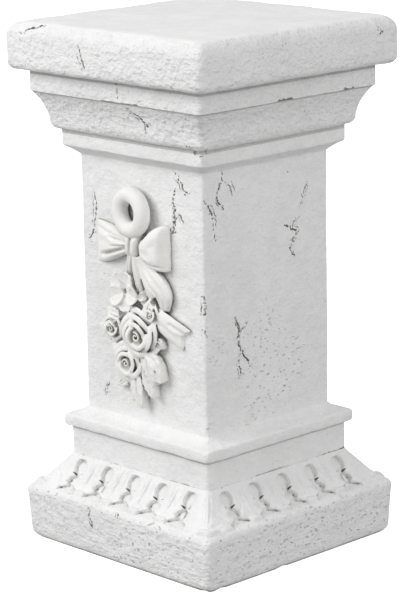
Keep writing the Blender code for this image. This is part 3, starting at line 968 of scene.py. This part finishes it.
# height over the nominal slope: toMargin is the distance left to the leaf's side
def leafHeight(fromMiddle, toMargin, up, spread=1.0):
    _, _, length = slopeEnds()
    ground = -leaves["gapDepth"] - leaves["wallBelow"]
    edge = smoothStep(-0.2, 0.5, toMargin)
    p = np.abs(fromMiddle)
    high = 0.4 + 0.9 * bump(p, 6.0 * spread) - 0.9 * (1 - smoothStep(0, 3, toMargin))
    # shallow creases run up from each notch towards the rib, with a soft swelling under each
    for notchUp, notchOff in ((19.0, 13.5), (7.5, 9.5)):
        creaseUp = notchUp + (notchOff * spread - p) * 0.95 / spread
        reach = smoothStep(3, 9, p)
        high = high - 0.9 * bump(up - creaseUp, 1.1) * reach + 0.5 * bump(up - creaseUp + 5, 3.0) * reach
    # two fine lines beside the rib
    high = high - 0.6 * bump(p - 1.4 - 0.04 * up, 0.5) * smoothStep(8, 14, up)
    # the tip curls out over a groove, then falls to the shoulder
    tip = 1 - smoothStep(6 * spread, 13 * spread, p)
    high = high + (1.9 * bump(up - 6.0, 2.2) - 1.1 * bump(up - 11.0, 1.8)) * tip
    high = high * smoothStep(length + 1, length - 5, up) * smoothStep(0, 5, up)
    high = high - 1.4 * (1 - smoothStep(0.8, 3.5, up))
    return ground + (high - ground) * edge


def makeTile(cells, marginOf, faces, spread=1.0):
    piece = addSlab(*cells)
    _, _, length = slopeEnds()
    points = readPoints(piece)
    upper = points[:, 2] > 0.5
    up = 1.0 + (points[:, 1] + 0.5) * (length - 1.0)
    along, toMargin = marginOf(points[:, 0] * 2, up)
    high = np.where(upper, leafHeight(along, toMargin, up, spread), -leaves["gapDepth"] - leaves["tileBelow"])
    writePoints(piece, np.stack([along, up, high], axis=-1))
    turnNormalsOut(piece)
    applyModifier(piece, "DECIMATE", ratio=faces / faceCount(piece))
    return piece


# half width and height on the slope, with the outward direction there, for an array of places up it
def slopeFrame(up):
    low, high, length = slopeEnds()
    share = up / length
    chord = np.array(high) - np.array(low)
    outward = np.array([chord[1], -chord[0]]) / length
    sag = 4 * body["bandSag"] * share * (1 - share)
    half = low[0] + chord[0] * share - outward[0] * sag
    height = low[1] + chord[1] * share - outward[1] * sag
    slope = chord[None, :] - outward[None, :] * (4 * body["bandSag"] * (1 - 2 * share))[:, None]
    normal = np.stack([slope[:, 1], -slope[:, 0]], axis=-1)
    normal /= np.linalg.norm(normal, axis=1)[:, None]
    return half, height, normal


def turnQuarter(points, quarter):
    x, y = points[:, 0].copy(), points[:, 1].copy()
    for _ in range(quarter):
        x, y = -y, x
    return np.stack([x, y, points[:, 2]], axis=-1)


def layStraight(piece, middle, quarter, wobble):
    along, up, high = readPoints(piece).T
    half, height, normal = slopeFrame(up)
    high = high + wobble * np.sin(along * 0.4 + middle) * 0.25
    points = np.stack([
        along + middle, -(half + normal[:, 0] * high), height + normal[:, 1] * high
    ], axis=-1) * mm
    writePoints(piece, turnQuarter(points, quarter))


def layCorner(piece, quarter):
    along, up, high = readPoints(piece).T
    half, height, normal = slopeFrame(up)
    radius = leaves["cornerRound"]
    blend = smoothStep(-radius, radius, along)
    inward = np.clip(1 - np.abs(along) / radius, 0, 1) ** 2 * radius * 0.3
    x = half + np.minimum(along, 0) + normal[:, 0] * high * blend - inward
    y = -half + np.maximum(along, 0) - normal[:, 0] * high * (1 - blend) + inward
    points = np.stack([x, y, height + normal[:, 1] * high], axis=-1) * mm
    writePoints(piece, turnQuarter(points, quarter))


def makeLeafBand():
    pitch = leaves["pitch"]

    # over the openings' heads the leaves touch, so their sides stay high there
    def marginIn(reach, across, up):
        along = across * reach
        gap = gapHalf(up)
        return along, reach - np.abs(along) - gap + np.where(gap < 0.01, leaves["closed"], 0)

    def straightMargin(across, up):
        return marginIn(pitch / 2 + leaves["overlap"], across, up)

    def cornerMargin(across, up):
        return marginIn(slopeFrame(up)[0] - (leaves["count"] - 1) / 2 * pitch + leaves["overlap"], across, up)

    leaf = makeTile((84, 96), straightMargin, leaves["tileFaces"])
    corner = makeTile((160, 96), cornerMargin, leaves["cornerFaces"], leaves["cornerSpread"])
    tiles = []
    for quarter in range(4):
        for index in range(leaves["count"] - 1):
            middle = (index - (leaves["count"] - 2) / 2) * pitch
            tile = copyPiece(leaf, f"leaf{quarter}{index}")
            layStraight(tile, middle, quarter, random.Random(quarter * 10 + index).uniform(-1, 1))
            tiles.append(tile)
        tile = copyPiece(corner, f"cornerLeaf{quarter}")
        layCorner(tile, quarter)
        tiles.append(tile)
    for master in (leaf, corner):
        bpy.data.objects.remove(master, do_unlink=True)
    return tiles


# cracks, drill holes and pits are cut out of the joined casting

wear = {
    "crackDepth": 4.0, "crackWidth": 2.0, "crackStep": 1.7, "crackJitter": 0.95, "crackBreak": 0.16,
    "twinWidth": 0.5, "twinLeast": 2.0, "twinMost": 4.5,
    "chipPitch": 3.2, "chipSpread": 1.9, "chipSmall": 0.45, "chipLarge": 1.15,
    "pitCount": 110, "pitSmall": 0.4, "pitLarge": 0.9,
    "crackEdge": 1.2, "crackTop": 1.9, "crackWide": 1.3, "crackNarrow": 0.35,
    "chipFlat": (0.5, 1.3), "chipDeep": 1.4,
    "twinPlaces": 4, "twinLift": 0.4, "pitLift": 0.45, "pitFlat": (0.45, 0.9),
    "drillRadius": 1.05, "drillDepth": 3.6, "drillSpread": (0.7, 1.15), "drillShift": 0.5,
    # pits: lowest and highest place, reach to both sides of the middle, and how often
    "pitZones": [
        (12, 54, 136, 3.0), (102, 130, 100, 1.0), (170, 425, 88, 3.0), (452, 456, 100, 0.3),
        (470, 495, 112, 1.0), (503, 520, 126, 0.6), (534, 562, 140, 2.0),
    ],
    "pitFaces": (0, 1, 1, 2, 3),
    # the carving keeps free of them: middle, reach, lowest and highest place on the front
    "carving": (-5, 72, 160, 410),
}

# each crack: its face (0 front, 1 right, 2 back, 3 left), its width and its places (u, height)
cracks = [
    (0, 0.8, [(-72, 392), (-70, 380), (-70.5, 370), (-73, 358), (-75, 350), (-79, 343), (-84, 338)]),
    (0, 1.3, [(53, 411), (51, 403), (50, 395), (52, 388), (51.5, 380), (49, 372), (49.5, 366), (47, 361)]),
    (0, 1.0, [(53, 429), (56, 424), (59, 420), (64, 417), (66, 411), (71, 409), (75, 407)]),
    (0, 0.7, [(59, 385), (62, 380), (65, 375)]),
    (0, 1.3, [(92.0, 303), (93.2, 292), (92.4, 281)]),
    (0, 0.9, [(92, 267), (93.2, 257)]),
    (0, 0.7, [(-56, 183), (-60, 177), (-62, 168)]),
    (1, 1.0, [(-92, 403), (-86, 396), (-82, 390), (-79, 380), (-78, 368), (-76, 356)]),
    (1, 0.9, [(-65, 430), (-66, 420), (-71, 410), (-72, 399), (-67, 393), (-63, 389)]),
    (1, 0.7, [(-57, 416), (-53, 409), (-50, 402)]),
    (1, 0.7, [(61, 399), (56, 388), (50, 374)]),
    (1, 1.0, [(24, 359), (31, 357), (38, 352), (45, 349), (40, 342), (35, 334), (36, 328), (43, 321)]),
    (1, 0.6, [(38, 352), (42, 360), (48, 363)]),
    (1, 1.1, [
        (-50, 271), (-46, 264), (-43, 257), (-45, 247), (-43, 238), (-38, 229), (-31, 221), (-29, 213),
    ]),
    (1, 0.7, [(-33, 264), (-38, 258), (-43, 255)]),
    (1, 0.7, [(-41, 234), (-45, 222), (-43, 212), (-42, 205)]),
    (0, 1.0, [(-121, 562), (-112, 567), (-104, 569), (-95, 571), (-88, 572)]),
    (0, 0.8, [(-31, 560), (-27, 553), (-25, 545), (-22, 539), (-20, 534)]),
    (0, 0.7, [(7, 521), (9, 514), (10, 504)]),
    (0, 1.0, [(12, 498), (18, 495), (25, 491), (32, 486), (37, 481), (36, 476), (35, 471)]),
    (0, 0.7, [(37, 481), (41, 479), (44, 476)]),
    (0, 0.9, [(95, 464), (97, 458), (99, 451)]),
    (1, 0.9, [(-111, 461), (-108, 456), (-105, 451)]),
    (1, 0.7, [(112, 563), (116, 558), (119, 556)]),
    (0, 1.1, [(-37, 56), (-39, 50), (-40, 44), (-37, 39), (-36, 34)]),
    (0, 0.8, [(5, 60), (7, 54)]),
    (2, 0.9, [(40, 398), (36, 388), (38, 376), (31, 366), (30, 352)]),
    (2, 0.7, [(-55, 260), (-50, 250), (-52, 238)]),
    (3, 0.9, [(-30, 330), (-36, 318), (-33, 306), (-40, 296)]),
    (3, 0.7, [(60, 410), (64, 402), (62, 392)]),
]

# larger pits: face, u, height, radius
marks = [
    (0, 120, 33, 1.3), (0, 102, 60, 1.5), (0, 116, 57, 1.3), (0, -43, 164, 1.0), (0, -63, 167, 1.2),
    (0, -58, 180, 1.0), (0, 105, 493, 1.2), (0, 87, 477, 1.0), (1, 32, 415, 1.3), (1, 28, 500, 1.1),
    (1, 30, 483, 1.0), (0, 106, 452, 1.8), (0, 68, 352, 0.9), (0, 66, 350, 0.7), (0, -60, 303, 0.9),
    (0, -18, 55, 1.0), (1, -60, 30, 1.1), (1, -90, 20, 1.0), (0, 30, 20, 1.0), (0, 80, 18, 0.9),
    (1, 20, 45, 1.0), (1, 60, 38, 0.9),
]


def halfAt(levels, height):
    return np.interp(height, [level[1] for level in levels], [level[0] for level in levels])


# places on any of the four sides, out from the moulded face
def onSide(face, levels, u, height, out):
    u, height, out = np.broadcast_arrays(np.asarray(u, float), height, out)
    points = np.stack([u, -halfAt(levels, height) - out, height], axis=-1) * mm
    return turnQuarter(points, face)


def pathLength(path):
    return np.linalg.norm(np.diff(np.asarray(path, float), axis=0), axis=1).sum()


# a wedge along a path, wider and deeper here and there
def makeCrack(face, width, path, levels, dice):
    count = max(4, round(pathLength(path) / wear["crackStep"]))
    piece = addSlab(count, 1)
    points = readPoints(piece)
    index = np.round((points[:, 0] + 0.5) * count).astype(int)
    jitter = np.array([[dice.uniform(-1, 1), dice.uniform(-1, 1)] for _ in range(count + 1)])
    halves = np.array([dice.uniform(0.2, 1.0) for _ in range(count + 1)]) * width * wear["crackWidth"]
    halves *= 0.3 + 0.7 * np.sin(np.pi * np.linspace(0.06, 0.94, count + 1)) ** 0.5
    # where the crack breaks off for a step, its floor stays over the surface
    broken = np.array([dice.random() < wear["crackBreak"] for _ in range(count + 1)])
    broken[0] = broken[-1] = True
    floors = np.where(broken, wear["crackEdge"], -wear["crackDepth"])
    middle = smoothPath(path, index / count) + jitter[index] * wear["crackJitter"]
    run = pathRun(path, index / count, 0.03)
    upper = points[:, 2] > 0.5
    side = np.where(points[:, 1] > 0, 1.0, -1.0) * halves[index]
    side *= np.where(upper, wear["crackWide"], wear["crackNarrow"])
    out = np.where(upper, wear["crackTop"], floors[index])
    writePoints(piece, onSide(
        face, levels, middle[:, 0] - run[:, 1] * side, middle[:, 1] + run[:, 0] * side, out
    ))
    turnNormalsOut(piece)
    return piece


# small chips beside a crack
def makeChips(face, width, path, levels, dice):
    chips = []
    for _ in range(max(1, round(pathLength(path) / wear["chipPitch"]))):
        place = smoothPath(path, np.array([dice.random()]))[0]
        u, height = (value + dice.gauss(0, wear["chipSpread"]) for value in place)
        radius = dice.uniform(wear["chipSmall"], wear["chipLarge"]) * (0.6 + 0.5 * width)
        flat = dice.uniform(*wear["chipFlat"])
        chips.append(makePit(face, levels, u, height, radius, flat, wear["chipDeep"]))
    return chips


def makePit(face, levels, u, height, radius, flat=0.75, deep=1.0):
    piece = addBall()
    points = readPoints(piece) * (radius, radius * flat, radius * deep)
    out = points[:, 2] - wear["pitLift"]
    writePoints(piece, onSide(face, levels, u + points[:, 0], height + points[:, 1], out))
    turnNormalsOut(piece)
    return piece


def makePits(levels):
    dice = random.Random(21)
    zones = wear["pitZones"]
    middle, free, lowest, highest = wear["carving"]
    pits = []
    for _ in range(wear["pitCount"]):
        low, high, reach, _ = dice.choices(zones, weights=[zone[3] for zone in zones])[0]
        face = dice.choice(wear["pitFaces"])
        u, height = dice.uniform(-reach, reach), dice.uniform(low, high)
        if face == 0 and lowest < height < highest and abs(u - middle) < free:
            continue
        radius = dice.uniform(wear["pitSmall"], wear["pitLarge"])
        pits.append(makePit(face, levels, u, height, radius, dice.uniform(*wear["pitFlat"])))
    for face, u, height, radius in marks:
        pits.append(makePit(face, levels, u, height, radius))
    return pits


# the small deep holes in the notches between the lobes
def makeDrillHoles():
    holes = []
    pitch = leaves["pitch"]
    dice = random.Random(5)
    for quarter in range(4):
        for gap in range(leaves["count"]):
            centre = (gap - (leaves["count"] - 1) / 2) * pitch
            for side in (-1, 1):
                for up, off, part in leaves["holes"]:
                    piece = addBall()
                    radius = wear["drillRadius"] * dice.uniform(*wear["drillSpread"])
                    points = readPoints(piece) * (radius, radius, wear["drillDepth"])
                    shift = dice.uniform(-wear["drillShift"], wear["drillShift"])
                    half, height, normal = slopeFrame(up + points[:, 1] + shift)
                    out = points[:, 2] - leaves["gapDepth"] * part + 0.5
                    laid = np.stack([
                        centre + side * off + points[:, 0], -(half + normal[:, 0] * out),
                        height + normal[:, 1] * out,
                    ], axis=-1) * mm
                    writePoints(piece, turnQuarter(laid, quarter))
                    turnNormalsOut(piece)
                    holes.append(piece)
    return holes


def cutWear(piece):
    levels = bodyLevels()
    dice = random.Random(3)
    holes = makePits(levels)
    for face, width, path in cracks:
        cutOrJoin(piece, makeCrack(face, width, path, levels, dice), "DIFFERENCE")
        holes += makeChips(face, width, path, levels, dice)
        # a finer crack runs beside each one for part of its way
        aside = dice.choice((-1, 1)) * dice.uniform(wear["twinLeast"], wear["twinMost"])
        begin = dice.randrange(max(1, len(path) - 2))
        part = path[begin:begin + wear["twinPlaces"]]
        twin = [(u + aside, height + aside * wear["twinLift"]) for u, height in part]
        cutOrJoin(piece, makeCrack(face, width * wear["twinWidth"], twin, levels, dice), "DIFFERENCE")
    cutOrJoin(piece, joinPieces(holes), "DIFFERENCE")
    cutOrJoin(piece, joinPieces(makeDrillHoles()), "DIFFERENCE")


# painted shade: how much of the sky each point misses, kept on the mesh as numbers for a wide and for a close
# look, and turned into darker colour in the hollows and crevices

shadeRays = {
    "wide": 12.0, "close": 3.2, "rays": 16, "start": 0.2,
    "passes": 2, "longEdge": 2.4, "steep": 0.25, "mostFaces": 194000,
}


def skyRays():
    rays = []
    for index in range(shadeRays["rays"]):
        share = (index + 0.5) / shadeRays["rays"]
        turn = index * math.pi * (3 - math.sqrt(5))
        flat = math.sqrt(share)
        rays.append(Vector((flat * math.cos(turn), flat * math.sin(turn), math.sqrt(1 - share))))
    return rays


def missedSky(tree, rays, place, normal):
    wide, close = shadeRays["wide"] * mm, shadeRays["close"] * mm
    turn = normal.to_track_quat("Z", "Y")
    start = place + normal * shadeRays["start"] * mm
    missedWide = missedClose = 0.0
    for ray in rays:
        ahead = turn @ ray
        distance = tree.ray_cast(start, ahead, wide)[3]
        # the floor stops a ray too, so the foot gets painted shade beside the floor
        if ahead.z * wide < -start.z:
            distance = min(distance or wide, max(start.z, 0) / -ahead.z)
        if distance is not None:
            missedWide += 1 - distance / wide
            missedClose += max(0.0, 1 - distance / close)
    return missedWide / len(rays), missedClose / len(rays)


def storePaintedShade(piece):
    tree = BVHTree.FromObject(piece, bpy.context.evaluated_depsgraph_get())
    rays = skyRays()
    mesh = bmesh.new()
    mesh.from_mesh(piece.data)
    hollow, crevice = (mesh.verts.layers.float.new(name) for name in ("hollow", "crevice"))
    fresh = list(mesh.verts)
    for turn in range(shadeRays["passes"] + 1):
        for vert in fresh:
            vert[hollow], vert[crevice] = missedSky(tree, rays, vert.co, vert.normal)
        if turn == shadeRays["passes"]:
            break
        # long edges between an open and a shaded point are halved, so that the painted shade keeps to the
        # hollows
        steep = []
        for edge in mesh.edges:
            first, second = edge.verts
            change = abs(first[hollow] - second[hollow]) + abs(first[crevice] - second[crevice])
            if change > shadeRays["steep"] and edge.calc_length() > shadeRays["longEdge"] * mm:
                steep.append(edge)
        room = (shadeRays["mostFaces"] - len(mesh.faces)) // 2
        steep = sorted(steep, key=lambda edge: -edge.calc_length())[:max(room, 0)]
        made = bmesh.ops.subdivide_edges(mesh, edges=steep, cuts=1)["geom_inner"]
        fresh = [part for part in made if isinstance(part, bmesh.types.BMVert)]
        bmesh.ops.triangulate(mesh, faces=[face for face in mesh.faces if len(face.verts) > 3])
        mesh.normal_update()
        print("dirt: halved", len(steep), "edges,", len(mesh.faces), "faces")
    mesh.to_mesh(piece.data)
    mesh.free()


# the stone: chalky white cement with trowel marks, its pinhole specks, hollows and crevices darkened with
# painted shade, and a painted shadow under each overhang

stoneLook = {
    "colour": (0.800, 0.800, 0.797, 1), "pale": (0.852, 0.852, 0.850, 1), "cream": (0.835, 0.828, 0.800, 1),
    # two dark colours for painted shade: one for hollows, crevices and under overhangs, one for pinholes
    "paintedShade": (0.20, 0.187, 0.155, 1), "pinholeShade": (0.20, 0.19, 0.17, 1),
    "roughness": 0.82, "grainRoughness": 0.14, "sheen": 0.25,
    # how much of the hollow and the crevice numbers shows as painted shade
    "hollowFrom": 0.16, "hollowTo": 0.80, "hollowPart": 0.80, "creviceFrom": 0.08, "creviceTo": 0.52,
    "crevicePart": 0.88,
    "carvedHollowShade": 0.05, "carvedCreviceShade": 0.045,
    "cloudScale": 14.0, "mottleScale": 62.0, "lumpScale": 150.0, "grainScale": 620.0, "streakScale": 165.0,
    "streakStretch": (0.28, 1.0), "pinScale": 380.0, "pinStretch": (0.6, 1.2), "pinFrom": 0.71, "pinTo": 0.80,
    # where the stone is smoother or rougher, each from none to full, in metres
    "block": (0.066, 0.056), "head": (0.455, 0.462), "topFace": (0.5715, 0.5742),
    "flankOut": (0.090, 0.0935), "flankTop": (0.31, 0.22), "flankFoot": (0.145, 0.155),
    "carvedOut": (-0.0955, -0.0975), "carvedFoot": (0.165, 0.172), "carvedTop": (0.415, 0.408),
    "bumpDepth": 0.0030,
    # a painted shadow line under each overhang: how far it reaches down for each mm of overhang, and beyond
    # that
    "overhangShadowSlope": 0.24, "overhangShadowWidth": 1.0, "overhangShadowPart": 0.42,
}


# the heights of the overhangs, each with its width
def overhangs():
    ledge = body["blockHeight"] + body["bandRise"] + body["neckHeight"]
    shaftTop = ledge + body["ledgeHeight"] + body["ledgeSlope"] + body["shaftHeight"]
    bandTop = shaftTop + body["upperStep"] + body["upperBandHeight"]
    coveTop = bandTop + body["coveHeight"]
    capFoot = coveTop + body["filletHeight"]
    return (
        (ledge, body["ledgeOut"] - 1), (bandTop, body["noseOut"]), (coveTop, body["coveTopIn"]),
        (capFoot, body["capHalf"] - body["filletHalf"] - body["capFootRound"] / 2),
    )


# one socket of the shader, so that sums on sockets read as sums
class Wire:
    def __init__(self, tree, socket):
        self.tree = tree
        self.socket = socket

    # a node: its settings first, then the values or wires of its sockets
    def add(self, kind, settings=None, inputs=None, output=0):
        node = self.tree.nodes.new(kind)
        for name, value in (settings or {}).items():
            setattr(node, name, value)
        for name, value in (inputs or {}).items():
            if isinstance(value, Wire):
                self.tree.links.new(value.socket, node.inputs[name])
            else:
                node.inputs[name].default_value = value
        return Wire(self.tree, node.outputs[output])

    def math(self, operation, first, second):
        return self.add("ShaderNodeMath", {"operation": operation}, {0: first, 1: second})

    def __add__(self, other):
        return self.math("ADD", self, other)

    def __radd__(self, other):
        return self.math("ADD", other, self)

    def __sub__(self, other):
        return self.math("SUBTRACT", self, other)

    def __rsub__(self, other):
        return self.math("SUBTRACT", other, self)

    def __mul__(self, other):
        return self.math("MULTIPLY", self, other)

    def __rmul__(self, other):
        return self.math("MULTIPLY", other, self)

    # 0 at the first value, 1 at the second, and smooth between
    def between(self, first, second):
        return self.add(
            "ShaderNodeMapRange", {"interpolation_type": "SMOOTHSTEP"}, {0: self, 1: first, 2: second}
        )

    # the first colour where this is 0 and the second where it is 1
    def mixed(self, first, second):
        return self.add("ShaderNodeMix", {"data_type": "RGBA"}, {0: self, 6: first, 7: second}, 2)


def makeStone():
    look = stoneLook
    material = bpy.data.materials.new("castStone")
    material.use_nodes = True
    tree = material.node_tree
    shader = tree.nodes["Principled BSDF"]
    start = Wire(tree, shader.outputs[0])
    place = start.add("ShaderNodeTexCoord", output="Object")
    x, y, z = (start.add("ShaderNodeSeparateXYZ", {}, {0: place}, axis) for axis in range(3))

    def noise(scale, detail=2.0, rough=0.5, where=place):
        values = {"Vector": where, "Scale": scale, "Detail": detail, "Roughness": rough}
        return start.add("ShaderNodeTexNoise", {}, values, "Fac")

    def stretched(sideways, upwards):
        return start.add("ShaderNodeMapping", {}, {"Vector": place, "Scale": (sideways, sideways, upwards)})

    hollow = start.add("ShaderNodeAttribute", {"attribute_name": "hollow"}, {}, "Fac")
    crevice = start.add("ShaderNodeAttribute", {"attribute_name": "crevice"}, {}, "Fac")
    # the block, the mouldings, the shaft's low sides, the carving and the top
    block, head, topFace = (z.between(*look[zone]) for zone in ("block", "head", "topFace"))
    sides = (x * x).between(*(out**2 for out in look["flankOut"]))
    flank = sides * z.between(*look["flankTop"]) * z.between(*look["flankFoot"])
    carved = y.between(*look["carvedOut"]) * z.between(*look["carvedFoot"]) * z.between(*look["carvedTop"])
    clouds = noise(look["cloudScale"], 3.0)
    mottle = noise(look["mottleScale"], 4.0, 0.6)
    lumps = noise(look["lumpScale"], 3.0, 0.6)
    grain = noise(look["grainScale"], 3.0, 0.6)
    streaks = noise(look["streakScale"], 3.0, 0.55, stretched(*look["streakStretch"]))
    zone = (block * 0.8 + flank * 0.7 + 0.08) * clouds.between(0.35, 0.62) * (1 - topFace)
    pins = noise(look["pinScale"], 0.0, 0.5, stretched(*look["pinStretch"]))
    pins = pins.between(look["pinFrom"], look["pinTo"]) * zone
    tone = (clouds * 0.5 + mottle * 0.5).between(0.36, 0.64)
    colour = tone.mixed(look["colour"], look["pale"])
    colour = (carved * 0.8).mixed(colour, look["cream"])
    # painted shade inside the pinholes, which are only dents in the bump
    colour = (pins * 0.5).mixed(colour, look["pinholeShade"])
    # painted shade: the colour darkens where the hollow number shows the sky hidden, a little more on the
    # carving
    hollowShade = hollow + carved * look["carvedHollowShade"] + (grain - 0.5) * 0.10
    hollowShade = hollowShade.between(look["hollowFrom"], look["hollowTo"]) * look["hollowPart"]
    colour = hollowShade.mixed(colour, look["paintedShade"])
    # painted shade in the crevices, from the close number, a little more on the carving
    deep = crevice + carved * look["carvedCreviceShade"] + (grain - 0.5) * 0.08
    deep = deep.between(look["creviceFrom"], look["creviceTo"]) * look["crevicePart"]
    colour = deep.mixed(colour, look["paintedShade"])
    # painted shadow: a dark band under each overhang, reaching down as far as the overhang hides and a little
    # more
    for top, out in overhangs():
        foot = top - out * look["overhangShadowSlope"] - look["overhangShadowWidth"]
        shadowLine = z.between((foot - 0.5) * mm, foot * mm) * z.between((top + 0.6) * mm, (top + 0.2) * mm)
        colour = (shadowLine * (grain * 0.5 + 0.75) * look["overhangShadowPart"]).mixed(colour, look["paintedShade"])
    rough = (mottle - 0.5) * 1.0 + (lumps - 0.5) * (0.45 + head * 0.9 + block * 0.45) + (grain - 0.5) * 0.22
    rough = rough + (streaks - 0.5) * (0.15 + block * 0.65 + head * 0.25)
    height = rough * (1 - carved * 0.6) * (1 - topFace * 0.85) - pins * 0.6
    depth = {"Height": height, "Strength": 1.0, "Distance": look["bumpDepth"]}
    bumped = start.add("ShaderNodeBump", {}, depth)
    tree.links.new(colour.socket, shader.inputs["Base Color"])
    tree.links.new((look["roughness"] + grain * look["grainRoughness"]).socket, shader.inputs["Roughness"])
    tree.links.new(bumped.socket, shader.inputs["Normal"])
    shader.inputs["Specular IOR Level"].default_value = look["sheen"]
    return material


# put together

casting = makeBody()
print("body:", faceCount(casting), "triangles")
reliefPiece = makeRelief()
print("relief:", faceCount(reliefPiece), "triangles")
cutOrJoin(casting, reliefPiece, "UNION")
print("relief joined:", faceCount(casting), "triangles")
for tile in makeLeafBand():
    cutOrJoin(casting, tile, "UNION")
print("leaf band joined:", faceCount(casting), "triangles")
cutWear(casting)
print("wear cut:", faceCount(casting), "triangles")
applyModifier(casting, "DECIMATE", ratio=min(1.0, body["castingFaces"] / faceCount(casting)))
closeMesh(casting)
dropLooseShells(casting, isLargest)
keepInBox(casting)
casting.data.materials.clear()
casting.data.materials.append(makeStone())
storePaintedShade(casting)
closeMesh(casting)
dropLooseShells(casting, isLargest)
selectOnly(casting)
bpy.ops.object.shade_smooth_by_angle(angle=math.radians(body["smoothTo"]))

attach(casting, "root")
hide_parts("pedestal")
